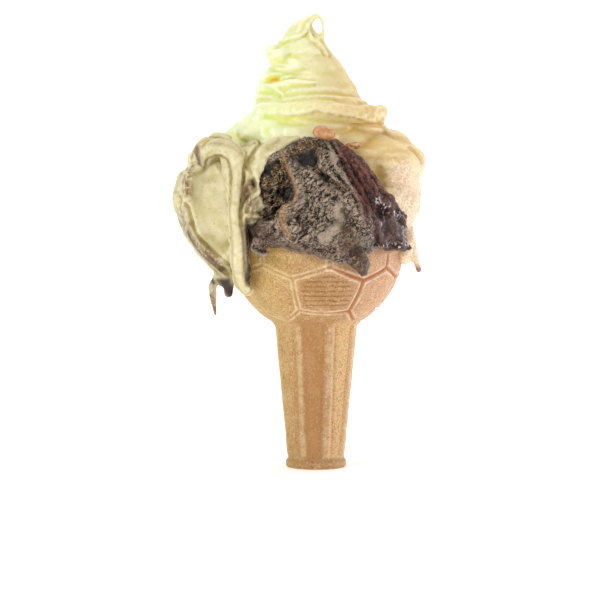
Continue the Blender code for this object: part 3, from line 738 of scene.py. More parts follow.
class Look:
    """A Principled material built from a few node calls."""

    def __init__(self, name):
        self.mat = bpy.data.materials.new(name)
        self.mat.use_nodes = True
        self.tree = self.mat.node_tree
        self.shader = self.tree.nodes["Principled BSDF"]
        self.coord = self.tree.nodes.new("ShaderNodeTexCoord").outputs["Object"]

    def put(self, socket, value):
        if isinstance(value, bpy.types.NodeSocket):
            self.tree.links.new(value, socket)
        elif socket.type == "RGBA" and isinstance(value, str):
            socket.default_value = rgb(value)
        else:
            socket.default_value = value

    def mark(self, name):
        node = self.tree.nodes.new("ShaderNodeAttribute")
        node.attribute_name = name
        return node.outputs["Fac"]

    def mix(self, fac, a, b):
        node = self.tree.nodes.new("ShaderNodeMix")
        node.data_type = "RGBA"
        self.put(node.inputs[0], fac)
        self.put(node.inputs[6], a)
        self.put(node.inputs[7], b)
        return node.outputs[2]

    def math(self, op, a, b=0.0, clamp=False):
        node = self.tree.nodes.new("ShaderNodeMath")
        node.operation = op
        node.use_clamp = clamp
        self.put(node.inputs[0], a)
        self.put(node.inputs[1], b)
        return node.outputs[0]

    def times(self, a, b, clamp=False):
        return self.math("MULTIPLY", a, b, clamp)

    def paint(self, amount, colour):
        """Lays a colour over what is there."""
        self.tone = self.mix(amount, self.tone, colour)

    def band(self, value, low, high, a=0.0, b=1.0):
        node = self.tree.nodes.new("ShaderNodeMapRange")
        node.interpolation_type = "SMOOTHSTEP"
        for socket, v in zip(node.inputs[:5], (value, low, high, a, b)):
            self.put(socket, v)
        return node.outputs[0]

    def axis(self, name):
        node = self.tree.nodes.new("ShaderNodeSeparateXYZ")
        self.put(node.inputs[0], self.coord)
        return node.outputs[name]

    def noise(self, size, detail=3.0, rough=0.5, stretch=None, distort=0.0, vector=None):
        """size is in millimetres."""
        vector = vector or self.coord
        if stretch:
            node = self.tree.nodes.new("ShaderNodeMapping")
            node.inputs["Scale"].default_value = stretch
            self.put(node.inputs["Vector"], vector)
            vector = node.outputs[0]
        node = self.tree.nodes.new("ShaderNodeTexNoise")
        self.put(node.inputs["Vector"], vector)
        node.inputs["Scale"].default_value = 1.0 / (size * MM)
        node.inputs["Detail"].default_value = detail
        node.inputs["Roughness"].default_value = rough
        node.inputs["Distortion"].default_value = distort
        return node.outputs["Fac"]

    def creases(self, size, length, turn, wide=0.07, detail=2.0, distort=0.3):
        """0 along thin wrinkles and 1 between them; they run at the angle turn in the front view."""
        node = self.tree.nodes.new("ShaderNodeMapping")
        node.vector_type = "TEXTURE"
        node.inputs["Rotation"].default_value = (0.0, -math.radians(turn), 0.0)
        node.inputs["Scale"].default_value = (length, 1.0, 1.0)
        self.put(node.inputs["Vector"], self.coord)
        lines = self.noise(size, detail, 0.5, None, distort, node.outputs[0])
        away = self.math("ABSOLUTE", self.math("SUBTRACT", lines, 0.5))
        return self.band(away, 0.0, wide)

    def cells(self, size):
        node = self.tree.nodes.new("ShaderNodeTexVoronoi")
        self.put(node.inputs["Vector"], self.coord)
        node.inputs["Scale"].default_value = 1.0 / (size * MM)
        return node.outputs["Distance"]

    def bump(self, height, strength, distance, normal=None):
        node = self.tree.nodes.new("ShaderNodeBump")
        node.inputs["Strength"].default_value = strength
        node.inputs["Distance"].default_value = distance * MM
        self.put(node.inputs["Height"], height)
        if normal:
            self.put(node.inputs["Normal"], normal)
        return node.outputs[0]

    def set(self, name, value):
        self.put(self.shader.inputs[name], value)

    def glow(self, weight, radius, scale):
        """Light that passes through the skin."""
        self.set("Subsurface Weight", weight)
        self.set("Subsurface Radius", radius)
        self.set("Subsurface Scale", scale)


def wafer_look():
    k = Look("wafer")
    x = k.axis("X")
    grain = k.noise(0.55, 4.0, 0.65)
    cloud = k.noise(7.0, 3.0, 0.55)
    # Painted light: the bowl is tinted yellow-olive on the left and pink on the right, the tint of the
    # lamps on each side; a deeper orange band runs down the centre.
    side = k.band(x, -0.024, 0.026)
    k.tone = k.mix(side, "#C4A35B", "#D9AA8A")
    mid = k.times(k.band(x, -0.020, 0.002), k.band(x, 0.026, 0.004))
    k.paint(k.times(mid, 0.75), "#AE804C")
    k.paint(k.band(cloud, 0.35, 0.7, 0.0, 0.40), "#DDBC8C")
    # Painted light: the right side of the stem is painted paler, where the light falls on it.
    k.paint(k.times(k.mark("lit_stem_side"), 0.75), "#EBC68E")
    k.paint(k.band(grain, 0.34, 0.60, 0.55, 0.0), "#8E602F")
    k.paint(k.band(k.noise(0.8, 3.0, 0.6), 0.52, 0.70, 0.0, 0.45), "#F0DAB0")
    k.paint(k.band(k.noise(1.1, 3.0, 0.65), 0.46, 0.30, 0.0, 0.55), "#8F5F34")
    # Painted highlight: the seam lips, the rail and the stem ribs are painted pale, near white on the
    # right.
    k.paint(k.times(k.mark("lip"), k.band(k.noise(2.6, 3.0), 0.3, 0.6, 0.15, 0.75)),
        k.mix(side, "#E4D09A", "#FBE8DC"))
    # The grooves and the rib edges are painted darker orange: partly a deeper bake, partly painted
    # shade in the grooves; strongest on the right and at the far left.
    groove_bake_and_shade = k.mix(k.band(x, -0.004, 0.014), "#BF8A4C", "#B4682E")
    burnt_and_shaded = k.math("MAXIMUM", k.band(x, -0.004, 0.014, 0.25, 0.95), k.band(x, -0.020, -0.027))
    k.paint(k.times(k.mark("groove"), burnt_and_shaded), groove_bake_and_shade)
    k.paint(k.band(x, -0.022, -0.031, 0.0, 0.65), "#C27E3A")
    k.paint(k.times(k.mark("panel"), 0.50), "#AC7640")
    k.paint(k.times(k.mark("cut"), 0.75), "#7E4E22")
    k.set("Base Color", k.tone)
    k.set("Roughness", k.band(grain, 0.3, 0.7, 0.50, 0.72))
    k.set("Specular IOR Level", 0.35)
    k.glow(0.12, (0.8, 0.45, 0.2), 0.0025)
    fine = k.bump(grain, 0.55, 0.30)
    k.set("Normal", k.bump(k.noise(1.9, 3.0, 0.6), 0.30, 0.40, fine))
    return k.mat


def cream_look():
    k = Look("cream")
    x = k.axis("X")
    z = k.axis("Z")
    # Painted light: the left of the heap is painted pale lime as the lit side, the right deeper and
    # warmer as the shaded side; this split also tints the crease, crest, shade and pore colours below.
    side = k.band(x, -0.022, 0.020)
    k.tone = k.mix(side, "#EAF4C6", "#DCBE80")
    k.paint(k.band(k.noise(9.0, 3.0, 0.5, (1.0, 1.0, 2.5)), 0.4, 0.65, 0.0, 0.35), "#F3EDB0")
    # Painted shade in the creases and painted highlight on the crests, from how far each point stands
    # out.
    k.paint(k.band(k.mark("crest"), 0.46, 0.16, 0.0, 0.70), k.mix(side, "#E9F27C", "#CFA85C"))
    k.paint(k.band(k.mark("crest"), 0.56, 0.86, 0.0, 0.45), k.mix(side, "#FDFDEC", "#F8E9C8"))
    # Painted shade in the creases, under the ribbon and beside the chocolate.
    painted_shade = k.mix(side, "#EFE882", "#D8B972")
    k.paint(k.times(k.mark("painted_shade"), 0.9, True), painted_shade)
    # Painted shade in the notch under a fold: yellow, orange at its core.
    k.paint(k.times(k.mark("notch_shade"), 0.85), "#F2E85A")
    k.paint(k.times(k.mark("notch_core_shade"), 0.9), "#F4B43C")
    pore = k.noise(0.9, 3.0, 0.65)
    # The right lobe's grain is peach, and its pale flecks are painted glints.
    peach = k.mix(k.band(pore, 0.36, 0.64), "#E3BE98", "#FCEBD6")
    k.paint(k.times(k.mark("peach"), 0.85), peach)
    k.paint(k.band(pore, 0.34, 0.52, 0.16, 0.0), k.mix(side, "#D8D272", "#CFA468"))
    k.paint(k.mark("brown"), "#8E5230")
    k.set("Base Color", k.tone)
    k.set("Roughness", k.band(k.noise(2.0, 3.0), 0.3, 0.7, 0.34, 0.50))
    k.set("Specular IOR Level", 0.45)
    k.glow(0.25, (1.0, 0.9, 0.35), 0.0025)
    fine = k.bump(pore, 0.42, 0.30)
    k.set("Normal", k.bump(k.noise(1.8, 3.0, 0.6), 0.28, 0.45, fine))
    return k.mat


def pistachio_look():
    k = Look("pistachio")
    cloud = k.noise(6.0, 3.0, 0.55)
    k.tone = k.mix(k.band(cloud, 0.35, 0.7), "#CDBF8C", "#DED4AC")
    k.paint(k.band(k.cells(1.5), 0.10, 0.20, 0.65, 0.0), "#9A8A5C")
    # Painted shade in the creases and painted highlight on the crests.
    k.paint(k.band(k.mark("crest"), 0.45, 0.14, 0.0, 0.60), "#A4924E")
    k.paint(k.band(k.mark("crest"), 0.57, 0.88, 0.0, 0.40), "#F0E8C4")
    streak = k.noise(1.2, 4.0, 0.6, (1.0, 1.0, 0.35), 1.5)
    mauve = k.times(k.mark("mauve"), k.band(streak, 0.35, 0.60), True)
    k.paint(k.times(mauve, 0.85), "#93807C")
    # Painted shade in olive in the creases, beside the roll and low on the scooped face, with an olive
    # tint over the top right.
    k.paint(k.times(k.mark("olive_tint_and_shade"), 0.8), "#A08C4C")
    brown = k.times(k.mark("brown"), k.band(streak, 0.30, 0.52), True)
    k.paint(brown, "#7C5636")
    # Chocolate smears, and painted shade in a small hole.
    k.paint(k.mark("choc_and_shade"), "#3A2623")
    k.set("Base Color", k.tone)
    k.set("Roughness", k.band(k.noise(2.0, 3.0), 0.3, 0.7, 0.33, 0.50))
    k.set("Specular IOR Level", 0.5)
    k.glow(0.22, (1.0, 0.85, 0.4), 0.003)
    fine = k.bump(k.noise(0.6, 3.0, 0.6), 0.22, 0.22)
    k.set("Normal", k.bump(k.noise(2.4, 3.0, 0.6), 0.20, 0.5, fine))
    return k.mat


def chocolate_look():
    k = Look("chocolate")
    red = k.mark("red")
    fleck = k.noise(0.8, 3.0, 0.6)
    face = k.times(k.creases(1.5, 3.4, 44.0, 0.045, 3.0, 0.1),
        k.creases(0.8, 3.0, 36.0, 0.035, 1.0, 0.1))
    side = k.times(k.creases(1.5, 2.8, -58.0, 0.05, 3.0, 0.6),
        k.creases(0.8, 1.8, -45.0, 0.04, 1.0, 0.3))
    wrinkle = k.mix(red, face, side)
    # Painted shade and highlight: the chocolate is painted near black in its creases and light
    # grey-brown on its crests, the red side the same in red-browns.
    high = k.math("ADD", k.times(k.mark("crest"), 0.80), k.times(fleck, 0.55))
    k.tone = k.mix(k.band(high, 0.42, 0.90), "#1C100A", "#B6A08B")
    reds = k.mix(k.band(high, 0.44, 0.92), "#21080A", "#83463C")
    reds = k.mix(k.times(k.mark("low"), 0.62), reds, "#341514")
    k.paint(k.times(red, 0.92), reds)
    sheen = k.times(k.mark("light"), k.band(fleck, 0.32, 0.60, 0.15, 0.9))
    k.paint(sheen, "#AD9C8A")
    k.paint(k.times(k.mark("umber"), 0.78), "#4C2D1F")
    # Painted shade: thin near-black lines in the wrinkle creases, fainter where the skin is calm.
    cut = k.math("SUBTRACT", 1.0, wrinkle)
    still = k.times(k.mark("calm"), k.math("SUBTRACT", 0.85, k.times(red, 0.45)))
    cut = k.times(cut, k.math("SUBTRACT", 0.86, still), True)
    k.paint(cut, "#120A08")
    # Painted glints: small light flecks, fewer on the red side.
    fleck_glints = k.band(k.noise(0.62, 2.0, 0.6), 0.58, 0.68)
    bare = k.math("SUBTRACT", 1.0, k.times(red, 0.70))
    k.paint(k.times(fleck_glints, k.times(bare, 0.65)), "#CDB899")
    # Painted shade in the torn hollow, the basin and the creases, nearly black, with golden crumb lines
    # and flecks in it; the top and the lower right are painted the same way.
    rust = k.math("SUBTRACT", 1.0, k.creases(1.5, 1.3, 20.0, 0.045, 3.0, 0.8))
    rust = k.math("MAXIMUM", rust, k.band(k.noise(0.75, 2.0, 0.6), 0.57, 0.66))
    rust = k.times(rust, k.band(k.noise(3.4, 2.0), 0.38, 0.54))
    shade_and_crumbs = k.mix(rust, k.mix(k.band(high, 0.5, 1.0), "#090707", "#2A211C"),
        k.mix(k.band(k.noise(2.0), 0.4, 0.6), "#BE8850", "#D8C29A"))
    k.paint(k.times(k.mark("dark"), 0.92), shade_and_crumbs)
    # Painted shade in the basin hollow.
    k.paint(k.times(k.mark("basin_shade"), 0.9), "#242326")
    # Painted highlight: a tan line along the lit edge of the ridge.
    k.paint(k.times(k.mark("ridge_highlight"), k.band(k.noise(1.5, 3.0), 0.30, 0.55, 0.55, 1.0)), "#BC8E62")
    glint = k.times(k.mark("glint"), k.band(k.noise(0.85, 1.0, 0.4, (1.0, 1.0, 0.6)), 0.56, 0.61))
    k.paint(glint, "#F2EAEA")
    k.set("Base Color", k.tone)
    k.set("Roughness", k.band(k.noise(3.0, 4.0, 0.6), 0.35, 0.65, 0.28, 0.44))
    k.set("Specular IOR Level", 0.28)
    fine = k.bump(wrinkle, 0.75, 0.34)
    fine = k.bump(fleck, 0.60, 0.40, fine)
    wave = k.noise(2.6, 1.5, 0.4, None, 0.4)
    k.set("Normal", k.bump(wave, 0.35, 0.8, fine))
    k.set("Coat Weight", k.math("ADD", k.times(k.mark("wet"), 0.34), 0.03, True))
    k.set("Coat Roughness", 0.09)
    k.set("Coat Normal", k.bump(k.noise(1.8, 1.0, 0.4), 0.70, 0.8))
    return k.mat


# The wafer cup

def on_bowl(azimuth, latitude, radius=1.0):
    a, b = math.radians(azimuth), math.radians(latitude)
    return np.array((math.sin(a) * math.cos(b), -math.cos(a) * math.cos(b), math.sin(b))) * radius


def arc(radius, centre_z, start, end, step):
    n = max(2, int(abs(end - start) / math.degrees(step / radius)))
    out = []
    for i in range(n + 1):
        a = math.radians(start + (end - start) * i / n)
        out.append((radius * math.cos(a), centre_z + radius * math.sin(a)))
    return out


def line(a, b, step):
    n = max(1, int(math.dist(a, b) / step))
    return [(a[0] + (b[0] - a[0]) * i / n, a[1] + (b[1] - a[1]) * i / n) for i in range(n)]


def build_cup():
    inside = BOWL_R - WALL
    stem_a = math.degrees(math.asin((STEM_TOP_Z + 1.2 - BOWL_Z) / BOWL_R))
    rim_a = math.degrees(math.asin((RIM_Z - BAND - BOWL_Z) / BOWL_R))
    lower_a = -math.degrees(math.acos((STEM_TOP_R - WALL) / inside))
    step = 0.4
    points = line((0.0, 0.0), (RING_R - 0.5, 0.0), 1.5) + line((RING_R - 0.5, 0.0), (RING_R, 0.5), 0.25)
    points += line((RING_R, 0.5), (RING_R, RING_H - 0.4), 0.4)
    points += line((RING_R, RING_H - 0.4), (FOOT_R, RING_H + 0.5), 0.25)
    points += line((FOOT_R, RING_H + 0.5), (STEM_TOP_R, STEM_TOP_Z), 0.8)
    points += arc(BOWL_R, BOWL_Z, stem_a, rim_a, step)
    points += line((BOWL_R + 0.3, RIM_Z - BAND + 0.35), (BOWL_R + 0.45, RIM_Z - 0.6), 0.5)
    points += line((BOWL_R + 0.45, RIM_Z - 0.6), (BOWL_R - 0.1, RIM_Z), 0.3)
    points += line((BOWL_R - 0.1, RIM_Z), (BOWL_R - WALL + 0.3, RIM_Z), 0.6)
    points += [(inside, RIM_Z - 0.5)] + arc(inside, BOWL_Z, -6.0, lower_a, 4.0)
    points += [(FOOT_R - WALL, FLOOR), (0.0, FLOOR)]
    ob = revolved("wafer_cup", points, CUP_STEPS)
    clay = Clay(ob)
    x, y, z = clay.co.T
    radius = np.hypot(x, y)
    outer = clay.normal[:, 0] * x + clay.normal[:, 1] * y > 0
    # raised panels, with a groove and two lips along each seam
    centre = np.stack([x, -np.abs(y), z - BOWL_Z], axis=1)
    length = np.linalg.norm(centre, axis=1)
    unit = centre / length[:, None]
    on = outer & (z > STEM_TOP_Z + 0.8) & (z < RIM_Z - BAND + 0.2) & (length > BOWL_R - 0.6)
    near = np.full(len(x), 99.0)
    for a, b in SEAMS:
        near = np.minimum(near, arc_distance(unit, on_bowl(*CORNERS[a]), on_bowl(*CORNERS[b])))
    near = near + 0.10 * clay.rough(5.0, 2, 3.0)
    right = smoothstep(4.0, 16.0, x)
    far_left = smoothstep(-20.0, -27.0, x)
    groove = np.exp(-(near / (0.30 + 0.36 * right)) ** 2) * on
    lip = np.exp(-((near - 0.85 - 0.35 * right) / 0.42) ** 2) * on
    pillow = (1.0 - np.exp(-np.clip(near - 1.0, 0, None) / 3.0)) * on
    fade = smoothstep(STEM_TOP_Z, STEM_TOP_Z + 3.0, z)
    depth = -0.26 - 0.40 * right - 0.30 * far_left
    clay.off += (depth * groove + (0.16 + 0.20 * right) * lip + 0.25 * pillow) * fade
    strip = arc_distance(unit, on_bowl(*CORNERS[STRIP[0]]), on_bowl(*CORNERS[STRIP[1]]))
    rail = np.exp(-((strip - 1.25) / 0.42) ** 2) * on
    clay.off += 0.45 * rail
    # fine ribs across the front panel
    inner = np.full(len(x), 99.0)
    for i, a in enumerate(PENTAGON):
        b = PENTAGON[(i + 1) % len(PENTAGON)]
        n = np.cross(on_bowl(*CORNERS[a]), on_bowl(*CORNERS[b]))
        n /= np.linalg.norm(n)
        if n @ on_bowl(8.0, -32.0) < 0:
            n = -n
        inner = np.minimum(inner, unit @ n * BOWL_R)
    level = z + 0.25 * clay.rough(3.0, 2, 9.0)
    lines = np.abs(((level - 62.8) / 1.80) % 1.0 - 0.5) * 2.0
    broken = smoothstep(-0.75, -0.20, clay.rough(3.2, 2, 21.0, (1.0, 1.0, 3.0)))
    cut = (smoothstep(0.62, 1.0, lines) * broken * smoothstep(2.2, 3.0, inner)
        * smoothstep(62.2, 63.0, z) * smoothstep(75.0, 74.2, z) * on)
    clay.off -= 0.42 * cut
    # ribs and flat panels of the stem
    az = np.degrees(np.arctan2(x, -y))
    rel = (az - RIB_FROM + RIB_TURN / 2) % RIB_TURN - RIB_TURN / 2
    across = np.radians(np.abs(rel)) * radius
    stem = outer & (z > RING_H + 0.6) & (z < STEM_TOP_Z + 4.0) & (radius > 8.0)
    ends = smoothstep(RING_H + 0.6, RING_H + 2.5, z) * smoothstep(STEM_TOP_Z + 2.0, STEM_TOP_Z - 1.0, z)
    rib = np.exp(-(across / 1.25) ** 4) * stem * ends
    edge = np.exp(-((across - 2.2) / 0.5) ** 2) * stem * ends
    clay.off += RIB_OUT * rib - 0.22 * edge
    fibre = clay.rough(1.4, 2, 5.0, (1.0, 1.0, 0.08))
    clay.off += 0.10 * fibre * stem * ends
    clay.off += 0.06 * clay.rough(2.0, 3, 1.0) * outer * smoothstep(0.2, 1.5, z)
    front_panel = (smoothstep(-26.0, -22.0, az) * smoothstep(14.0, 10.0, az) * stem * (1 - rib)
        * smoothstep(STEM_TOP_Z + 3.5, STEM_TOP_Z, z))
    clay.apply()
    # The seam grooves get a darker bake with painted shade in them.
    clay.mark("groove", np.clip(groove * fade + 0.45 * edge, 0, 1))
    clay.mark("cut", cut)
    # The lips, rail and ribs, which the material paints as a highlight.
    clay.mark("lip", np.clip(lip * fade * 0.9 + rail + 0.35 * rib, 0, 1))
    # Painted light: the right-facing side of the stem, painted paler.
    lit_stem_side = smoothstep(20.0, 26.0, az) * smoothstep(75.0, 68.0, az) * stem
    clay.mark("lit_stem_side", lit_stem_side * smoothstep(STEM_TOP_Z + 4.0, STEM_TOP_Z - 2.0, z))
    clay.mark("panel", np.clip(front_panel + 0.35 * smoothstep(1.5, 3.0, inner) * on, 0, 1))
    clay.write_marks()
    ob.data.materials.clear()
    ob.data.materials.append(wafer_look())
    return ob


def arc_distance(unit, a, b):
    """Distance over the bowl, in millimetres, from each unit direction to the arc from a to b."""
    n = np.cross(a, b)
    n /= np.linalg.norm(n)
    off = np.abs(np.arcsin(np.clip(unit @ n, -1, 1)))
    flat = unit - np.outer(unit @ n, n)
    between = ((np.cross(a, flat) @ n) > 0) & ((np.cross(flat, b) @ n) > 0)
    ends = np.minimum(np.arccos(np.clip(unit @ a, -1, 1)), np.arccos(np.clip(unit @ b, -1, 1)))
    return np.where(between, off, ends) * BOWL_R


# The gelato

def build_cream():
    ob = melted("cream_heap", CREAM_BALLS, CREAM_ROPES, 0.75, 4)
    c = Clay(ob)
    body = smoothstep(86.0, 96.0, c.co[:, 2]) * (1 - 0.8 * smoothstep(150.0, 160.0, c.co[:, 2]))
    c.off += 0.8 * c.rough(9.0, 3, 2.0, (0.45, 0.45, 1.6)) * body
    c.apply()
    c.nudge(*CREAM_SHIFT)
    c.carve(CREAM_STROKES)
    c.apply()
    frayed = c.weight(*FRAY)[0]
    band = c.weight(*RIBBON_BAND)[0]
    lobe = smoothstep(*LOBE_X, c.px) * smoothstep(*LOBE_Y, c.py) * c.front
    lower = smoothstep(130.0, 100.0, c.co[:, 2])
    c.off += ((0.10 + 0.30 * band + 0.40 * lobe + 0.12 * lower) * c.rough(1.7, 3, 8.0)
        + 1.1 * frayed * c.rough(2.4, 3, 18.0))
    c.apply()
    c.remesh(0.57, 1)
    # How far each point stands out, which the material turns into painted shade in creases and painted
    # highlight on crests.
    c.mark("crest", 0.55 * c.relief(4, 0.10) + 0.45 * c.relief(30, 0.55))
    # Painted shade in the creases and under the ribbon.
    c.mark("painted_shade", c.strongest(CREAM_SHADE))
    # Painted shade in the notch under a fold on the left of the cone.
    ragged = 0.35 * c.rough(2.5, 2, 6.0)
    c.oval_mark("notch_shade", *NOTCH_SHADE, 0.5, ragged)
    c.oval_mark("notch_core_shade", *NOTCH_CORE_SHADE, 0.5, ragged)
    ragged = c.rough(7.0, 3, 3.0)
    peach = smoothstep(*PEACH_X, c.px + 4.0 * ragged) * smoothstep(*PEACH_Y, c.py + 10.0 * ragged)
    c.mark("peach", peach * smoothstep(20.0, -4.0, c.co[:, 1] + 10.0 * ragged))
    c.mark("brown", 0.85 * smoothstep(*STRAND_TIP_Z, c.co[:, 2]) * (c.co[:, 0] > STRAND_X))
    c.write_marks()
    ob.data.materials.append(cream_look())
    return ob


def build_filling():
    """The gelato inside the bowl and the stem."""
    inside = BOWL_R - WALL - 0.05
    top = RIM_Z - 0.4
    points = [(0.0, FLOOR + 0.05), (FOOT_R - WALL - 0.05, FLOOR + 0.05)]
    lower_a = -math.degrees(math.acos((STEM_TOP_R - WALL) / inside))
    points += arc(inside, BOWL_Z, lower_a, -3.0, 1.2)
    points += (line((inside, top - 0.8), (inside - 0.5, top), 0.3)
        + line((inside - 0.5, top), (0.0, top + 1.5), 1.2))
    points += [(0.0, top + 1.5)]
    ob = revolved("cream_filling", points, FILLING_STEPS)
    c = Clay(ob)
    c.off += (0.3 * c.rough(3.0, 2, 5.0) * smoothstep(top - 0.3, top, c.co[:, 2])
        * (np.hypot(c.co[:, 0], c.co[:, 1]) < inside - 1.5))
    c.apply()
    c.mark("crest", np.full(len(c.co), 0.5))
    c.write_marks()
    ob.data.materials.append(cream.data.materials[0])
    return ob


def build_pistachio():
    ob = melted("pistachio_heap", PISTACHIO_BALLS, PISTACHIO_ROPES, 0.6, 3)
    c = Clay(ob)
    c.off += 0.6 * c.rough(8.0, 3, 5.0)
    c.apply()
    c.nudge(*PISTACHIO_SHIFT)
    c.dent(*SCOOP, 3.6, (0.78, 1.05))
    c.apply()
    c.smooth(90, c.patch(*SCOOP, SCOOP_EDGE))
    c.carve(PISTACHIO_STROKES)
    c.apply()
    rim = c.weight(RIM, 5.0, 0.05)[0]
    rough_side = smoothstep(*TORN_X, c.px) * smoothstep(*TORN_Y, c.py) * c.front
    face = c.patch(*SCOOP, SCOOP_EDGE)
    c.off += (0.14 + 1.30 * rim + 0.70 * rough_side) * c.rough(1.4, 3, 4.0) * (1 - 0.85 * face)
    c.off += 0.22 * c.rough(1.0, 2, 14.0, (0.22, 1.0, 1.0), -62.0) * (1 - face) * c.front
    c.apply()
    c.remesh(0.45, 1)
    # How far each point stands out, which the material turns into painted shade in creases and painted
    # highlight on crests.
    c.mark("crest", 0.5 * c.relief(5, 0.10) + 0.5 * c.relief(30, 0.50))
    # Chocolate smears, and painted shade in a small hole.
    c.mark("choc_and_shade", c.strongest(PISTACHIO_CHOC_AND_SHADE))
    c.mark("choc_and_shade", c.weight(*DARK_PATCH)[0] * smoothstep(*PATCH_Y, c.py))
    c.mark("mauve", c.strongest(PISTACHIO_MAUVE))
    c.mark("brown", c.strongest(PISTACHIO_BROWN))
    c.mark("brown", 0.9 * c.weight(RIM, 4.0, 0.05)[0] * smoothstep(0.10, 0.35, c.rough(2.2, 2, 61.0)))
    d, t, _ = path_distance(c.px, c.py, curved(ROLL))
    w = np.interp(t, np.linspace(0, 1, len(ROLL_WIDTHS)), ROLL_WIDTHS)
    seam = np.exp(-((d - w - 0.4) / 1.2) ** 2) * (t > 0.02) * c.front
    # Painted shade: creases, the valley beside the roll and the low part of the scooped face.
    c.mark("olive_tint_and_shade", c.strongest(PISTACHIO_OLIVE_SHADE))
    c.mark("olive_tint_and_shade", 0.75 * seam)
    c.mark("olive_tint_and_shade", 0.5 * c.patch(*SCOOP, SCOOP_EDGE) * smoothstep(*SCOOP_LOW_Y, c.py))
    # An olive tint over the top right, above the roll.
    c.mark("olive_tint_and_shade", 0.30 * smoothstep(*CREST_Y, c.py) * smoothstep(*CREST_X, c.px) * c.front)
    c.write_marks()
    ob.data.materials.append(pistachio_look())
    return ob


def red_side(c):
    """The glossy red-brown right side, and its lower part."""
    diagonal = c.px - 0.40 * (c.py - RED_TOP) + 2.0 * c.rough(4.0, 2, 9.0)
    drip = c.weight(*RED_DRIP)[0]
    low = smoothstep(*LOW_RIGHT_Y, c.py + 0.5 * (c.px - LOW_RIGHT_MID)) * smoothstep(*LOW_RIGHT_X, c.px)
    return np.maximum(smoothstep(*RED_EDGE, diagonal), 0.85 * drip), low


def hollow(c):
    """The dark torn hollow left of the light ridge."""
    d, t, s = path_distance(c.px, c.py, curved(TAN))
    return (smoothstep(0.0, 1.5, d * s) * smoothstep(38, 32, d) * smoothstep(0.02, 0.08, t)
        * smoothstep(0.80, 0.73, t) * c.front)


def even_parts(c):
    """The parts of the chocolate that keep an even skin."""
    return c.weight(*SKIRT)[0], c.weight(*FLAP)[0], c.patch(*PANEL), c.patch(*BASIN)


def build_chocolate():
    ob = melted("chocolate_heap", CHOCOLATE_BALLS, CHOCOLATE_ROPES, 0.6, 3)
    c = Clay(ob)
    c.off += 0.7 * c.rough(7.0, 3, 6.0)
    c.apply()
    c.nudge(*CHOCOLATE_SHIFT)
    c.off -= 3.0 * hollow(c) * smoothstep(*HOLLOW_X, c.px)
    c.carve(CHOCOLATE_STROKES)
    c.apply()
    red = red_side(c)[0]
    smear = c.weight(SMEAR, 4.2)[0]
    ribbon = c.weight(RIBBON, 3.0)[0]
    skirt, flap, panel, basin = even_parts(c)
    recess = np.maximum(hollow(c), 0.7 * c.patch(*TOP))
    cap = c.patch(*CAP)
    calm = np.maximum.reduce([0.95 * smear, 0.95 * ribbon, 0.72 * red, 0.75 * skirt, 0.6 * flap,
        0.9 * panel, 0.8 * basin, 0.85 * cap])
    face = c.facets(2.8, 12.0, (0.5, 1.0, 1.0), 48.0)
    flow = c.facets(3.0, 31.0, (0.50, 1.0, 1.0), -55.0)
    pits = c.torn(2.1, 17.0)
    ridged = c.torn(2.4, 12.0, (0.40, 1.0, 1.0), 50.0)
    crest = ((0.55 * face + 0.5 * ridged) * (1 - red) + flow * red) * (1 - recess) + pits * recess
    calm = np.maximum(calm, 0.8 * c.weight(TAN, 1.8, 0.02)[0])
    c.off += (0.62 + 0.40 * recess) * crest * (1.0 - calm) + 0.7 * c.rough(4.8, 2, 44.0)
    c.apply()
    c.remesh(0.40, 0)
    red, low_right = red_side(c)
    recess = hollow(c)
    skirt, flap, panel, basin = even_parts(c)
    blur = c.weight(SMEAR, 5.4 + 0.9 * c.rough(3.0, 2, 51.0), 0.12, 3.0)[0]
    calm = np.maximum.reduce([blur, c.weight(RIBBON, 3.2)[0], 0.55 * red, 0.7 * skirt, 0.5 * flap,
        0.85 * panel, basin])
    fine = (c.facets(1.25, 27.0, (0.5, 1.0, 1.0), 50.0) * (1 - red)
        + c.facets(1.3, 23.0, (0.55, 1.0, 1.0), -55.0) * red)
    c.off += 0.38 * fine * (1 - calm)
    c.apply()
    # How far each point stands out, which the material turns into painted shade in creases and painted
    # highlight on crests.
    c.mark("crest", 0.5 * c.relief(3, 0.12) + 0.5 * c.relief(20, 0.45))
    c.mark("calm", calm)
    uneven = 0.45 * c.rough(3.0, 2, 33.0)
    # Painted shade in the basin hollow.
    c.oval_mark("basin_shade", *BASIN_SHADE, 0.55, uneven)
    c.mark("umber", (1 - blur) * np.maximum.reduce([flap, 0.8 * skirt, c.strongest(CHOCOLATE_UMBER)]))
    # Painted highlight along the lit edge of the ridge, which the dark paint leaves out.
    lit_ridge_w = c.weight(TAN, 1.3, 0.02)[0]
    c.mark("ridge_highlight", np.maximum(lit_ridge_w, 0.55 * c.weight(*RIDGE_HIGHLIGHT_FOOT)[0]))
    c.mark("calm", 0.6 * c.weight(*EVEN_STRIP)[0])
    # Painted sheen on the smooth smear, the skirt and the lit ridges.
    c.mark("light", np.maximum.reduce([blur, 0.15 * skirt, c.strongest(CHOCOLATE_SHEEN)]))
    # Painted shade: the torn hollow, the basin and the creases; the top and the lower right are painted
    # dark too, and the lit ridge is left out.
    dark = np.maximum.reduce([recess, 0.92 * c.patch(*TOP_DARK), c.patch(*BASIN_DARK),
        c.strongest(CHOCOLATE_DARK)])
    c.mark("dark", dark * (1 - lit_ridge_w))
    c.mark("red", red)
    c.mark("wet", np.clip(low_right + 0.25 * red, 0, 1))
    c.mark("low", low_right * red)
    c.mark("glint", c.strongest(CHOCOLATE_GLINTS))
    c.write_marks()
    ob.data.materials.append(chocolate_look())
    return ob


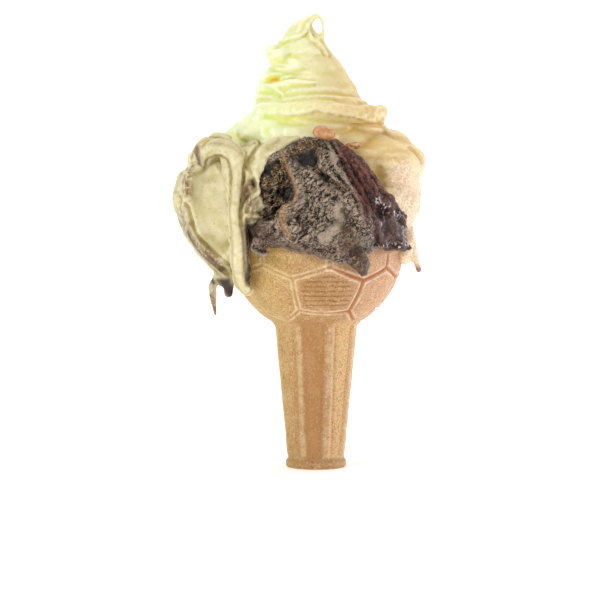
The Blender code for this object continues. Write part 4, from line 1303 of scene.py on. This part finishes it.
def build_bits():
    bm = bmesh.new()
    for centre, half, turn in CARAMEL_BALLS:
        add_ball(bm, centre, half, turn, 32, 20)
    c = Clay(skinned(meshed("caramel_bits", bm), 0.25, 1))
    c.off += 0.35 * c.rough(1.3, 3, 2.0)
    c.apply()
    c.write_marks()
    k = Look("caramel")
    grain = k.noise(1.6, 3.0, 0.55)
    tone = k.mix(k.band(k.axis("X"), 0.008, 0.011), "#B97B4B", "#8E5528")
    k.set("Base Color", k.mix(k.band(grain, 0.35, 0.62), tone, "#D3A172"))
    k.set("Roughness", k.band(grain, 0.3, 0.7, 0.30, 0.50))
    k.glow(0.15, (1.0, 0.5, 0.25), 0.0015)
    k.set("Normal", k.bump(grain, 0.4, 0.3))
    c.ob.data.materials.append(k.mat)
    return c.ob


bits = build_bits()
cup = build_cup()
cream = build_cream()
filling = build_filling()
pistachio = build_pistachio()
chocolate = build_chocolate()
for piece, node, slot in (
    (cup, "cup", "wafer"), (cream, "cream_gelato", "cream"), (bits, "cream_gelato", "cream"),
    (filling, "cream_gelato", "cream"),
    (pistachio, "pistachio_gelato", "pistachio"), (chocolate, "chocolate_gelato", "chocolate"),
):
    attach(piece, "root")
    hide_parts(node)


# Stage, light and camera: name, place, target, size, power and colour of each light

LIGHTS = [
    ("key", (-0.72, -0.72, 0.60), (0.0, 0.0, 0.11), 0.26, 4.8, (1.0, 1.0, 0.97)),
    ("rim", (0.95, 0.30, 0.26), (0.02, 0.0, 0.09), 0.15, 2.6, (1.0, 0.97, 0.94)),
    ("front", (0.15, -1.1, 0.30), (0.0, 0.0, 0.09), 0.45, 0.9, (1.0, 0.98, 0.95)),
    ("fill", (0.8, -0.7, 0.30), (0.0, 0.0, 0.10), 0.14, 1.7, (1.0, 0.94, 0.91)),
    ("top", (0.05, 0.10, 1.1), (0.0, 0.0, 0.1), 0.5, 1.0, (1.0, 1.0, 1.0)),
    ("wall", (0.0, 0.15, 1.2), (0.0, 0.95, 0.3), 1.2, 6.0, (1.0, 1.0, 1.0)),
]


def build_stage():
    bm = bmesh.new()
    profile = [(-1.5, 0.0), (0.5, 0.0)]
    for i in range(1, 13):
        a = math.radians(90.0 * i / 12)
        profile.append((0.5 + 0.5 * math.sin(a), 0.5 - 0.5 * math.cos(a)))
    profile.append((1.0, 2.2))
    rows = []
    for y, z in profile:
        rows.append([bm.verts.new((x, y, z)) for x in (-2.2, 2.2)])
    for a, b in zip(rows, rows[1:]):
        bm.faces.new((a[0], a[1], b[1], b[0]))
    ob = meshed("backdrop", bm)
    for face in ob.data.polygons:
        face.use_smooth = True
    mat = bpy.data.materials.new("paper_white")
    mat.use_nodes = True
    shader = mat.node_tree.nodes["Principled BSDF"]
    shader.inputs["Base Color"].default_value = (0.93, 0.93, 0.93, 1.0)
    shader.inputs["Roughness"].default_value = 0.9
    shader.inputs["Specular IOR Level"].default_value = 0.1
    shader.inputs["Emission Color"].default_value = (1.0, 1.0, 1.0, 1.0)
    shader.inputs["Emission Strength"].default_value = 0.35
    ob.data.materials.append(mat)


def area(name, place, target, size, power, colour):
    light = bpy.data.lights.new(name, "AREA")
    light.shape = "DISK"
    light.size = size
    light.energy = power
    light.color = colour
    ob = bpy.data.objects.new(name, light)
    ob.location = place
    ob.rotation_euler = (Vector(target) - Vector(place)).to_track_quat("-Z", "Y").to_euler()
    bpy.context.scene.collection.objects.link(ob)


build_stage()
for light in LIGHTS:
    area(*light)

world = bpy.data.worlds.new("studio")
world.use_nodes = True
world.node_tree.nodes["Background"].inputs[0].default_value = (1.0, 1.0, 1.0, 1.0)
world.node_tree.nodes["Background"].inputs[1].default_value = 0.24
bpy.context.scene.world = world

cam_data = bpy.data.cameras.new("camera")
cam_data.sensor_width = 36.0
cam_data.lens = 36.0 * DISTANCE / FRAME_MM
cam_data.clip_start = 0.05
cam = bpy.data.objects.new("camera", cam_data)
cam.location = Vector(EYE.tolist()) * MM
cam.rotation_euler = Vector(FORWARD.tolist()).to_track_quat("-Z", "Y").to_euler()
bpy.context.scene.collection.objects.link(cam)
bpy.context.scene.camera = cam
bpy.context.scene.view_settings.view_transform = "Standard"
